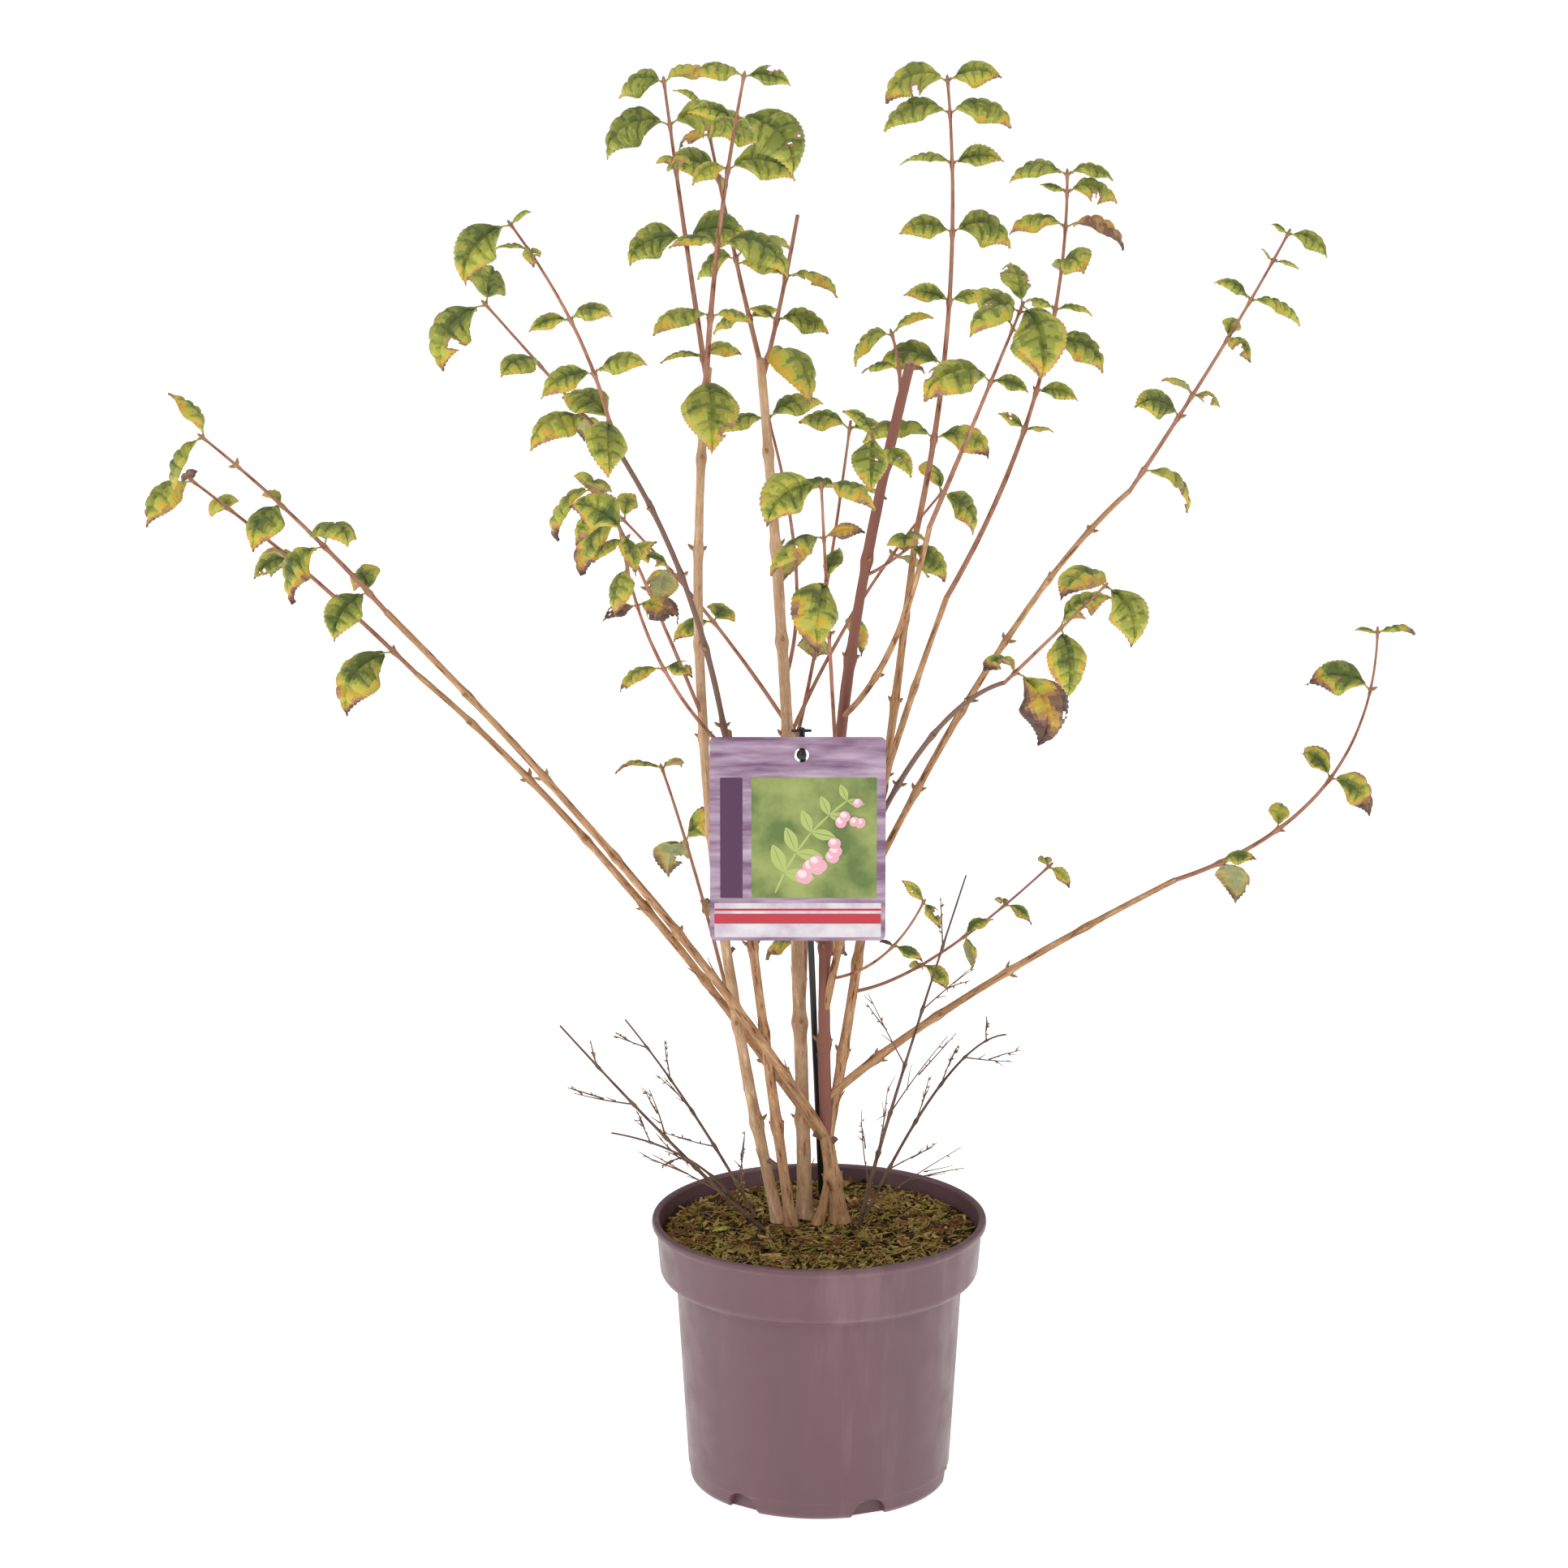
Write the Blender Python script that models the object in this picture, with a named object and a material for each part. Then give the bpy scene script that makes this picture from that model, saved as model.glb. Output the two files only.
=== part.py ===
"""A mont rose deutzia in its nursery pot: pot, soil, label, canes, boughs and leafy shoots.

Metres, +Z up. The origin is the middle of the pot's flat underside, and -Y is the front.
Plans are written in millimetres, because that is how a plant like this is measured.
"""
import math
import random
from collections import namedtuple

import bmesh
import bpy
from mathutils import Matrix, Quaternion, Vector
from mathutils.bvhtree import BVHTree

MM = 0.001
GAP = 0.3
SMOOTH_ANGLE = math.radians(40)

# Pot and soil
POT_SIDES = 32
POT_HEIGHT = 190.0
POT_RIM_RADIUS = 115.5
POT_FOOT_RADIUS = 86.0
POT_COLLAR_BASE = 149.0
POT_WALL = 2.2
POT_FLOOR = 14.0
NOTCH_COUNT = 6
NOTCH_TURN = math.radians(-97)
NOTCH_WIDTH = 26.0
NOTCH_HEIGHT = 13.5
NOTCH_DEPTH = 9.0
SOIL_TOP = 185.0
SOIL_EDGE = 179.5
SOIL_FLAT_RADIUS = 66.0
SOIL_GAP = 0.5

# Label card on its stick
CARD_SIZE = (118.0, 0.9, 142.0)
CARD_CENTRE = (-15.0, -62.0, 478.0)
CARD_CORNER = 4.0
CARD_HOLE = (-12.5, 536.5)
CARD_HOLE_RADIUS = 5.0
STICK_FOOT = (2.0, 60.0)
STICK_TOP = (-12.5, -56.0, 553.0)
STICK_RADIUS = 2.2
PEG_RADIUS = 1.7
PEG_HEAD_RADIUS = 3.4

# Canes, boughs and leaves, with their angles in degrees
NODE_SPACING = 77.0
NODE_SWELL = 1.22
CANE_SIDES = 6
TWIG_SIDES = 4
SPRAY_SIDES = 3
LEAF_SIDES = 3
LEAF_RISE = 42.0
LEAF_DROOP = 118.0
LEAF_DROOP_SPREAD = 12.0
LEAF_LONG = 60.0
LEAF_YOUNG = 40.0
LEAF_HALF_WIDTH = 0.29
LEAF_YOUNG_HALF_WIDTH = 0.22
LEAF_THICKNESS = 1.0
LEAF_STEPS = 24
LEAF_TURN_SPREAD = 12.0
LEAF_ROLL_SPREAD = 38.0
# Leaves heading sideways turn their faces this much to the light, which comes from the front.
LEAF_FACE_TURN = 20.0
LEAF_ROLL_SHARE = 0.3
LEAF_TIP_SHARE = 0.9
# Share of the leaf's length, share of its half width
LEAF_OUTLINE = ((0.0, 0.07), (0.12, 0.2), (0.34, 1.0), (0.7, 0.72), (1.0, 0.04))
BUD_LENGTH = 6.0
BUD_RADIUS = 1.3

# Side twigs of a dry spray: where the first one grows, how far each leans out and how long it is,
# as a share of the spray's length, and the fork half way along it
SPRAY_FIRST = 0.8
SPRAY_TURN = 137.5
SPRAY_TURN_SPREAD = 25.0
SPRAY_LEAN = (0.6, 0.95)
SPRAY_REACH = (0.192, 0.36)
SPRAY_FORK_SHARE = 0.5
SPRAY_FORK_LEAN = 0.8
SPRAY_FORK_REACH = 0.6
SPRAY_LOWEST = POT_HEIGHT + 4.0

Limb = namedtuple("Limb", "name start end bow radii tint")
Shoot = namedtuple("Shoot", "name start end bow radii seed pairs")
Spray = namedtuple("Spray", "name start end bow radii seed branches")

# A limb starts at its foot on the soil, as (x, y), or at a share of the limb it grows from.
# The bow is how far the middle of the limb stands off the straight line from start to end.
LIMBS = (
    Limb("trunk", (14, 2), (5, 8, 246), (0, 0, 0), (5.6, 4.8), "bark"),
    Limb("cane_red_pruned", ("trunk", 0.97), (60, 0, 790), (-20, 4, 0), (4.2, 3.3), "red"),
    Limb("cane_right_tall", ("trunk", 0.9), (65, 50, 660), (4, 8, 5), (3.6, 2.3), "bark"),
    Limb("cane_far_left_upper", ("trunk", 0.95), (-290, -40, 630), (26, -22, -5), (3.4, 2.0), "bark"),
    Limb("cane_far_left_lower", ("trunk", 0.88), (-275, 60, 560), (-5, 6, 25), (3.1, 1.9), "bark"),
    Limb("cane_left_upright", (-28, 2), (-75, 10, 785), (-25, 6, 10), (4.0, 2.8), "light"),
    Limb("cane_centre", (-10, 12), (-40, 60, 780), (5, 4, 5), (5.2, 2.9), "light"),
    Limb("cane_front_left", (-19, -6), (-62, -14, 540), (-5, -2, 25), (3.7, 2.6), "bark"),
    Limb("cane_right_arching", ("cane_red_pruned", 0.16), (85, -20, 635), (-8, -6, -5), (2.7, 2.0), "bark"),
    Limb("bough_far_right", ("cane_right_tall", 0.42), (205, -50, 715), (5, -6, 35), (2.5, 1.7), "bark"),
    Limb("bough_low_right", ("cane_red_pruned", 0.05), (245, 55, 415), (-20, 6, -5), (3.0, 2.0), "bark"),
    Limb("bough_front_right", ("cane_right_arching", 0.42), (120, -150, 610), (0, 4, 22), (2.0, 1.5), "dark"),
    Limb("bough_inner_right", ("cane_red_pruned", 0.55), (72, -70, 695), (4, -6, -15), (2.2, 1.8), "bark"),
    Limb("bough_left_dark", ("cane_front_left", 0.8), (-135, -110, 760), (12, 10, 10), (2.2, 1.6), "dark"),
)

# A shoot's pairs: share of its length, turn of the first leaf (0 right, 90 back), both lengths.
# A length of 0 is a fallen leaf, with a bud left in its place.
SHOOTS = (
    Shoot("shoot_far_left_upper", ("cane_far_left_upper", 1.0), (-410, -60, 755), (0, 0, 5), (1.7, 0.9), 3,
          ((0.09, -115, 48, 42), (0.33, 5, 58, 54), (0.56, -95, 52, 30), (0.8, 10, 0, 0), (0.98, 20, 42, 46))),
    Shoot("shoot_far_left_lower", ("cane_far_left_lower", 1.0), (-430, 90, 690), (0, 0, 5), (1.7, 0.9), 4,
          ((0.1, -130, 66, 0), (0.35, 0, 0, 0), (0.56, -110, 34, 44), (0.82, 60, 42, 0), (0.98, -125, 54, 30))),
    Shoot("shoot_left_tall", ("cane_left_upright", 0.985), (-105, 75, 970), (0, 0, -5), (2.0, 0.9), 5,
          ((0.08, 8, 34, 32), (0.48, 0, 50, 50), (0.71, -85, 42, 26), (0.85, 10, 60, 60), (0.98, -40, 40, 46))),
    Shoot("shoot_left_tall_light", ("cane_left_upright", 0.96), (-50, -70, 998), (-4, 0, 0), (2.0, 0.9), 6,
          ((0.05, -92, 70, 0), (0.26, 5, 32, 50), (0.48, 0, 60, 38), (0.71, 20, 52, 36), (0.86, -8, 66, 36),
           (0.99, 0, 34, 42))),
    Shoot("shoot_centre_back", ("cane_centre", 0.99), (-80, 200, 930), (0, 0, -5), (1.8, 0.9), 7,
          ((0.2, 0, 28, 34), (0.43, -20, 48, 40), (0.73, 250, 44, 30), (0.88, 0, 52, 30), (0.98, 60, 32, 28))),
    Shoot("shoot_centre_pruned", ("cane_centre", 0.975), (-15, 75, 876), (0, 0, -5), (1.7, 1.2), 8,
          ((0.16, -62, 70, 0), (0.4, 0, 42, 24), (0.66, 10, 44, 36))),
    Shoot("shoot_left_inner_up", ("bough_left_dark", 1.0), (-200, -190, 925), (10, 0, 0), (1.5, 0.8), 9,
          ((0.1, -80, 54, 52), (0.32, 5, 42, 42), (0.56, 0, 38, 30), (0.87, -50, 28, 26), (0.98, 15, 24, 56))),
    Shoot("shoot_left_inner_side", ("bough_left_dark", 0.94), (-222, -60, 845), (6, 6, -8), (1.3, 0.8), 10,
          ((0.3, -110, 58, 40), (0.66, -95, 44, 26), (0.98, 15, 52, 62))),
    Shoot("shoot_left_low_front", ("cane_front_left", 0.94), (-130, -180, 720), (-12, 8, -12), (1.5, 0.9), 11,
          ((0.45, 0, 30, 36), (0.72, 5, 40, 28), (0.86, 80, 30, 40), (0.98, -60, 38, 46))),
    Shoot("shoot_left_low", ("cane_left_upright", 0.58), (-140, -75, 712), (-5, 0, 15), (1.4, 0.8), 12,
          ((0.5, 0, 0, 0), (0.76, 20, 0, 30), (0.98, 30, 44, 40))),
    Shoot("shoot_left_back", ("cane_centre", 0.57), (-160, 195, 660), (5, 15, 0), (1.5, 0.8), 13,
          ((0.4, 0, 40, 34), (0.62, 95, 44, 30), (0.84, -10, 36, 56), (0.98, 200, 52, 50))),
    Shoot("shoot_centre_thin", ("cane_centre", 0.62), (-36, 125, 728), (14, 20, -20), (1.5, 1.0), 14,
          ((0.3, 20, 30, 0), (0.52, 100, 46, 0), (0.78, 0, 0, 0), (0.98, 10, 44, 40))),
    Shoot("shoot_centre_right_back", ("cane_centre", 0.52), (22, 172, 712), (0, 10, -25), (1.5, 0.9), 15,
          ((0.45, 90, 44, 0), (0.65, 0, 0, 0), (0.84, 5, 38, 46), (0.98, 5, 28, 40))),
    Shoot("shoot_centre_front", ("cane_red_pruned", 0.48), (0, -130, 740), (0, 4, -5), (1.5, 0.9), 16,
          ((0.5, 0, 0, 0), (0.68, -95, 64, 34), (0.82, 190, 52, 30), (0.98, 180, 54, 46))),
    Shoot("shoot_right_back", ("cane_centre", 0.55), (88, 205, 655), (-5, 10, 5), (1.4, 0.9), 17,
          ((0.45, 80, 42, 0), (0.7, 0, 34, 0), (0.98, 20, 44, 40))),
    Shoot("tuft_red_cane_top", ("cane_red_pruned", 0.95), (48, 42, 802), (2, 4, 0), (1.4, 0.9), 18,
          ((0.45, 15, 26, 30), (0.96, 150, 46, 34))),
    Shoot("tuft_red_cane_middle", ("cane_red_pruned", 0.88), (34, -46, 752), (0, 0, -3), (1.3, 0.9), 19,
          ((0.5, 0, 38, 0), (0.96, -80, 44, 30))),
    Shoot("tuft_red_cane_low", ("cane_red_pruned", 0.73), (62, -6, 668), (0, 0, -2), (1.3, 0.9), 20,
          ((0.9, 8, 40, 46),)),
    Shoot("shoot_right_tall", ("cane_right_tall", 1.0), (85, 62, 972), (12, 4, 0), (2.1, 0.9), 21,
          ((0.21, 5, 46, 56), (0.37, 0, 0, 50), (0.51, 0, 30, 34), (0.66, 10, 54, 40), (0.81, 0, 38, 38),
           (0.92, 5, 50, 52), (0.99, 0, 40, 52))),
    Shoot("shoot_right_arching", ("cane_right_arching", 1.0), (165, 42, 912), (20, -10, 0), (1.9, 0.9), 22,
          ((0.4, 5, 22, 22), (0.49, 0, 32, 0), (0.6, -10, 50, 0), (0.68, 5, 30, 26), (0.78, -92, 44, 34),
           (0.87, 0, 52, 44), (0.95, 10, 42, 20), (0.99, 5, 36, 46))),
    Shoot("shoot_inner_right", ("bough_inner_right", 1.0), (130, -140, 860), (5, 5, 10), (1.7, 0.9), 23,
          ((0.58, 5, 28, 62), (0.85, -60, 48, 46), (0.95, 5, 30, 52), (0.99, 110, 40, 62))),
    Shoot("shoot_far_right", ("bough_far_right", 1.0), (305, -80, 895), (5, -5, 5), (1.5, 0.8), 24,
          ((0.07, 5, 50, 0), (0.27, 190, 42, 0), (0.35, 10, 22, 30), (0.57, -90, 36, 30), (0.72, 5, 42, 32),
           (0.88, 10, 20, 16), (0.99, 0, 34, 16))),
    Shoot("shoot_front_right", ("bough_front_right", 1.0), (182, -250, 702), (0, 0, 0), (1.3, 0.8), 25,
          ((0.1, -30, 62, 40), (0.55, -80, 52, 44), (0.97, -30, 50, 56))),
    Shoot("shoot_low_right", ("bough_low_right", 1.0), (385, 112, 580), (35, 10, -25), (1.7, 0.8), 26,
          ((0.12, 90, 44, 30), (0.3, 170, 34, 0), (0.52, 0, 44, 36), (0.82, 175, 50, 0), (0.98, 20, 32, 20))),
    Shoot("shoot_low_right_back", ("cane_right_tall", 0.24), (165, 175, 392), (-10, 0, -20), (1.3, 0.8), 27,
          ((0.4, 0, 30, 26), (0.62, 90, 32, 28), (0.8, 0, 26, 24), (0.98, 10, 24, 24))),
    Shoot("shoot_low_right_front", ("cane_right_arching", 0.1), (70, -72, 438), (4, 4, -12), (1.2, 0.8), 28,
          ((0.6, 0, 24, 18), (0.98, -60, 26, 22))),
    Shoot("shoot_low_back", ("cane_centre", 0.2), (-15, 190, 430), (5, 10, 10), (1.6, 0.9), 29,
          ((0.35, 0, 44, 46), (0.55, 90, 50, 0), (0.75, 0, 48, 44), (0.9, 80, 40, 0), (0.98, 0, 34, 34))),
    Shoot("shoot_low_back_left", ("cane_far_left_lower", 0.22), (-110, 150, 470), (0, 10, 5), (1.4, 0.9), 30,
          ((0.4, 40, 42, 0), (0.65, 120, 46, 40), (0.98, 40, 34, 38))),
)

# Sprays of dry twigs low on the plant, with the number of their side branches.
SPRAYS = (
    Spray("dry_spray_left_low", (-38, -16), (-175, -72, 350), (10, 0, -15), (1.7, 0.7), 41, 6),
    Spray("dry_spray_left_rim", (-48, -2), (-140, -105, 285), (10, -5, 12), (1.2, 0.6), 42, 4),
    Spray("dry_spray_left_back", (-44, 14), (-135, 100, 300), (0, 5, 5), (1.2, 0.6), 43, 5),
    Spray("dry_spray_right", (28, -8), (98, -60, 452), (-14, 0, -40), (1.8, 0.6), 44, 7),
    Spray("dry_spray_right_back", (32, 14), (132, 135, 278), (5, 5, 30), (1.2, 0.6), 45, 5),
)

TINTS = {
    "bark": (0.36, 0.2, 0.11, 1.0),
    "light": (0.5, 0.32, 0.2, 1.0),
    "red": (0.25, 0.08, 0.05, 1.0),
    "dark": (0.16, 0.08, 0.06, 1.0),
    "leaf": (0.33, 0.36, 0.08, 1.0),
    "pot": (0.17, 0.09, 0.11, 1.0),
    "soil": (0.12, 0.08, 0.03, 1.0),
    "card": (0.4, 0.17, 0.32, 1.0),
    "stick": (0.01, 0.01, 0.012, 1.0),
}


def material(name, roughness=0.7):
    """One plain finish for each kind of surface."""
    made = bpy.data.materials.get(name)
    if made is None:
        made = bpy.data.materials.new(name)
        made.use_nodes = True
        shader = made.node_tree.nodes["Principled BSDF"]
        shader.inputs["Base Color"].default_value = TINTS[name]
        shader.inputs["Roughness"].default_value = roughness
    return made


def add_object(name, bm, finish, roughness=0.7):
    """Turn a bmesh in millimetres into a named object in metres."""
    bmesh.ops.recalc_face_normals(bm, faces=bm.faces)
    bmesh.ops.scale(bm, vec=(MM, MM, MM), verts=bm.verts)
    mesh = bpy.data.meshes.new(name)
    bm.to_mesh(mesh)
    bm.free()
    mesh.shade_smooth()
    mesh.set_sharp_from_angle(angle=SMOOTH_ANGLE)
    mesh.materials.append(material(finish, roughness))
    obj = bpy.data.objects.new(name, mesh)
    bpy.context.scene.collection.objects.link(obj)
    return obj


def applied(obj):
    """Keep what the object's modifiers give, as its own mesh."""
    graph = bpy.context.evaluated_depsgraph_get()
    mesh = bpy.data.meshes.new_from_object(obj.evaluated_get(graph))
    obj.modifiers.clear()
    obj.data = mesh
    return obj


def keep_largest(obj):
    """Drop the loose scraps that a cut leaves."""
    bm = bmesh.new()
    bm.from_mesh(obj.data)
    unseen = set(bm.faces)
    pieces = []
    while unseen:
        front = [unseen.pop()]
        piece = list(front)
        while front:
            for edge in front.pop().edges:
                for other in edge.link_faces:
                    if other in unseen:
                        unseen.discard(other)
                        front.append(other)
                        piece.append(other)
        pieces.append(piece)
    pieces.sort(key=len)
    scraps = [face for piece in pieces[:-1] for face in piece]
    bmesh.ops.delete(bm, geom=scraps, context="FACES")
    bm.to_mesh(obj.data)
    bm.free()


def combine(obj, others, operation, solver="EXACT"):
    """Join the objects to this one, or cut them from it, and remove them."""
    parts = bpy.data.collections.new(obj.name + "_parts")
    for other in others:
        parts.objects.link(other)
    boolean = obj.modifiers.new(operation.title(), "BOOLEAN")
    boolean.operation = operation
    boolean.operand_type = "COLLECTION"
    boolean.collection = parts
    boolean.solver = solver
    applied(obj)
    for other in others:
        bpy.data.objects.remove(other)
    bpy.data.collections.remove(parts)
    keep_largest(obj)


def loft(bm, rings, sides):
    """Join a row of rings into one closed skin. Each ring is the matrix that places a unit circle."""
    previous = None
    for index, ring in enumerate(rings):
        ends = index in (0, len(rings) - 1)
        made = bmesh.ops.create_circle(bm, cap_ends=ends, segments=sides, radius=1.0, matrix=ring)
        verts = set(made["verts"])
        edges = [edge for edge in bm.edges if edge.verts[0] in verts and edge.verts[1] in verts]
        if previous is not None:
            bmesh.ops.bridge_loops(bm, edges=previous + edges)
        previous = edges


def sweep(centres, radii, level_start=False):
    """The rings of a round limb: square to its path, or level where it is cut off on the soil."""
    rings = []
    tangent = Vector((0, 0, 1)) if level_start else (centres[1] - centres[0]).normalized()
    turn = Vector((0, 0, 1)).rotation_difference(tangent)
    for index, (centre, radius) in enumerate(zip(centres, radii)):
        if index or not level_start:
            before = centres[max(index - 1, 0)]
            after = centres[min(index + 1, len(centres) - 1)]
            ahead = (after - before).normalized()
            turn = tangent.rotation_difference(ahead) @ turn
            tangent = ahead
        size = Matrix.Diagonal((radius, radius, radius, 1.0))
        rings.append(Matrix.Translation(centre) @ turn.to_matrix().to_4x4() @ size)
    return rings


def path_point(start, end, bow, share):
    """A point on the bowed line from start to end."""
    return start.lerp(end, share) + bow * (4.0 * share * (1.0 - share))


def shares_of_rings(nodes, slender):
    """Both ends and every node, and on a thick limb the middle of each stretch between nodes."""
    stops = sorted({0.0, 1.0, *nodes})
    if slender:
        return stops
    return sorted(stops + [(low + high) / 2 for low, high in zip(stops, stops[1:])])


def in_millimetres(obj):
    """A finished piece's mesh, back in the unit of the plans."""
    bm = bmesh.new()
    bm.from_mesh(obj.data)
    bmesh.ops.scale(bm, vec=(1 / MM, 1 / MM, 1 / MM), verts=bm.verts)
    return bm


class Plant:
    """The limbs placed so far, and what a new piece has to stay clear of."""

    def __init__(self):
        self.paths = {}
        self.rings = {}
        self.taken = []

    def start_of(self, plan):
        """Where a limb starts, and whether that is on the soil."""
        if isinstance(plan.start[0], str):
            parent, share = plan.start
            return path_point(*self.paths[parent], share), False
        return Vector((*plan.start, SOIL_TOP + GAP)), True

    def reserve(self, obj):
        """Remember a finished piece as taken space."""
        bm = in_millimetres(obj)
        self.taken.append((obj.name, BVHTree.FromBMesh(bm)))
        bm.free()

    def clash(self, bm):
        """The names of the pieces that this shape would touch."""
        tree = BVHTree.FromBMesh(bm)
        return [name for name, other in self.taken if tree.overlap(other)]

    def trim(self, obj):
        """Cut a limb's root clear of the limbs that it grows out of."""
        bm = in_millimetres(obj)
        names = [name for name in self.clash(bm) if name in self.rings]
        bm.free()
        cutters = []
        for name in names:
            rings, sides = self.rings[name]
            cutters.append(self.fat_copy(name, rings, sides))
        if cutters:
            combine(obj, cutters, "DIFFERENCE")

    def fat_copy(self, name, rings, sides):
        """A limb's body grown by the gap all round."""
        fat = []
        for index, ring in enumerate(rings):
            radius = ring.to_scale().x
            grown = ring @ Matrix.Diagonal(((radius + GAP) / radius, (radius + GAP) / radius, 1.0, 1.0))
            if index == 0:
                grown = grown @ Matrix.Translation((0, 0, -GAP / radius))
            if index == len(rings) - 1:
                grown = grown @ Matrix.Translation((0, 0, GAP / radius))
            fat.append(grown)
        bm = bmesh.new()
        loft(bm, fat, sides)
        return add_object(name + "_clearance", bm, "bark")


def pot_outline():
    """Half the pot's section, from the middle of its floor out, over the lip and back in."""
    collar = POT_COLLAR_BASE
    lip = POT_RIM_RADIUS
    body_top = lip - 17.0
    collar_low = lip - 6.0
    return (
        (0.0, 0.0), (POT_FOOT_RADIUS, 0.0), (POT_FOOT_RADIUS + 3.0, 3.0), (POT_FOOT_RADIUS + 3.6, 12.0),
        (POT_FOOT_RADIUS + 4.4, 12.8), (body_top, collar - 3.0), (collar_low - 2.5, collar),
        (collar_low, collar + 3.5), (lip - 3.4, POT_HEIGHT - 6.5), (lip - 0.6, POT_HEIGHT - 5.5),
        (lip, POT_HEIGHT - 3.0), (lip - 0.8, POT_HEIGHT - 0.6), (lip - 2.0, POT_HEIGHT),
        (lip - 4.4, POT_HEIGHT), (lip - 5.6, POT_HEIGHT - 1.5), (collar_low - POT_WALL, collar + 5.0),
        (body_top - POT_WALL, collar - 1.0), (POT_FOOT_RADIUS + 1.4, POT_FLOOR), (0.0, POT_FLOOR),
    )


def turned(outline):
    """Spin half a section about the upright axis."""
    bm = bmesh.new()
    verts = [bm.verts.new((radius, 0.0, height)) for radius, height in outline]
    edges = [bm.edges.new(pair) for pair in zip(verts, verts[1:])]
    bmesh.ops.spin(bm, geom=verts + edges, axis=(0, 0, 1), cent=(0, 0, 0), steps=POT_SIDES,
                   angle=math.tau, use_merge=True, use_duplicate=False)
    bmesh.ops.remove_doubles(bm, verts=bm.verts, dist=0.001)
    return bm


def make_pot():
    """The pot, with arched drainage notches round its foot."""
    pot = add_object("pot", turned(pot_outline()), "pot", 0.45)
    cutters = []
    for index in range(NOTCH_COUNT):
        angle = math.tau * (index + 0.5) / NOTCH_COUNT + NOTCH_TURN
        bm = bmesh.new()
        bmesh.ops.create_cone(bm, cap_ends=True, segments=16, radius1=1.0, radius2=1.0, depth=1.0)
        place = (Matrix.Rotation(angle, 4, "Z") @ Matrix.Translation((POT_FOOT_RADIUS + 3.6, 0, 0))
                 @ Matrix.Rotation(math.pi / 2, 4, "Y")
                 @ Matrix.Diagonal((NOTCH_HEIGHT, NOTCH_WIDTH / 2, NOTCH_DEPTH * 2, 1.0)))
        bmesh.ops.transform(bm, matrix=place, verts=bm.verts)
        cutters.append(add_object(f"notch_{index}", bm, "pot"))
    combine(pot, cutters, "DIFFERENCE")
    return pot


def make_soil():
    """The root ball's potting soil, which fills the pot to just under its lip."""
    lip = POT_RIM_RADIUS
    collar = POT_COLLAR_BASE
    wall = POT_WALL + SOIL_GAP
    outline = (
        (0.0, POT_FLOOR + SOIL_GAP), (POT_FOOT_RADIUS + 0.7, POT_FLOOR + SOIL_GAP),
        (lip - 17.0 - wall, collar - 0.5), (lip - 6.0 - wall, collar + 5.6),
        (lip - 7.0, SOIL_EDGE), (lip - 30.0, SOIL_EDGE + 2.8), (SOIL_FLAT_RADIUS, SOIL_TOP), (0.0, SOIL_TOP),
    )
    return add_object("soil", turned(outline), "soil", 0.95)


def make_label_stick():
    """The black stick, with the short peg that holds the card."""
    foot = Vector((*STICK_FOOT, SOIL_TOP + GAP))
    top = Vector(STICK_TOP)
    centres = [foot.lerp(top, share) for share in (0.0, 0.5, 1.0)]
    bm = bmesh.new()
    loft(bm, sweep(centres, (STICK_RADIUS,) * 3, level_start=True), 8)
    stick = add_object("label_stick", bm, "stick", 0.4)
    hole_x, hole_z = CARD_HOLE
    back = Vector((hole_x, STICK_TOP[1] + 4.0, hole_z + 1.0))
    front = Vector((hole_x, CARD_CENTRE[1] - 5.0, hole_z + 1.0))
    neck = front.lerp(back, 0.3)
    bm = bmesh.new()
    loft(bm, sweep((back, neck, neck.lerp(front, 0.2), front), (PEG_RADIUS, PEG_RADIUS, PEG_HEAD_RADIUS,
                                                              PEG_HEAD_RADIUS)), 8)
    peg = add_object("peg", bm, "stick")
    combine(stick, [peg], "UNION")
    return stick


def make_label_card():
    """The stiff picture card, with rounded corners and a punched hole."""
    bm = bmesh.new()
    bmesh.ops.create_cube(bm, size=1.0)
    bmesh.ops.scale(bm, vec=CARD_SIZE, verts=bm.verts)
    corners = [edge for edge in bm.edges if abs(edge.verts[0].co.y - edge.verts[1].co.y) > CARD_SIZE[1] / 2]
    bmesh.ops.bevel(bm, geom=corners, offset=CARD_CORNER, offset_type="OFFSET", segments=4, profile=0.5,
                    affect="EDGES", material=-1)
    bmesh.ops.translate(bm, vec=CARD_CENTRE, verts=bm.verts)
    card = add_object("label_card", bm, "card", 0.35)
    hole_x, hole_z = CARD_HOLE
    bm = bmesh.new()
    bmesh.ops.create_cone(bm, cap_ends=True, segments=20, radius1=CARD_HOLE_RADIUS, radius2=CARD_HOLE_RADIUS,
                          depth=12.0)
    place = Matrix.Translation((hole_x, CARD_CENTRE[1], hole_z)) @ Matrix.Rotation(math.pi / 2, 4, "X")
    bmesh.ops.transform(bm, matrix=place, verts=bm.verts)
    combine(card, [add_object("punch", bm, "card")], "DIFFERENCE")
    return card


def limb_rings(plant, plan, nodes, slender=False):
    """The rings of a tapering limb that swells a little at each node."""
    start, on_soil = plant.start_of(plan)
    end = Vector(plan.end)
    bow = Vector(plan.bow)
    plant.paths[plan.name] = (start, end, bow)
    centres = []
    radii = []
    for share in shares_of_rings(nodes, slender):
        centres.append(path_point(start, end, bow, share))
        swell = NODE_SWELL if share in nodes and not slender else 1.0
        radii.append((plan.radii[0] + (plan.radii[1] - plan.radii[0]) * share) * swell)
    return sweep(centres, radii, level_start=on_soil)


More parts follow.
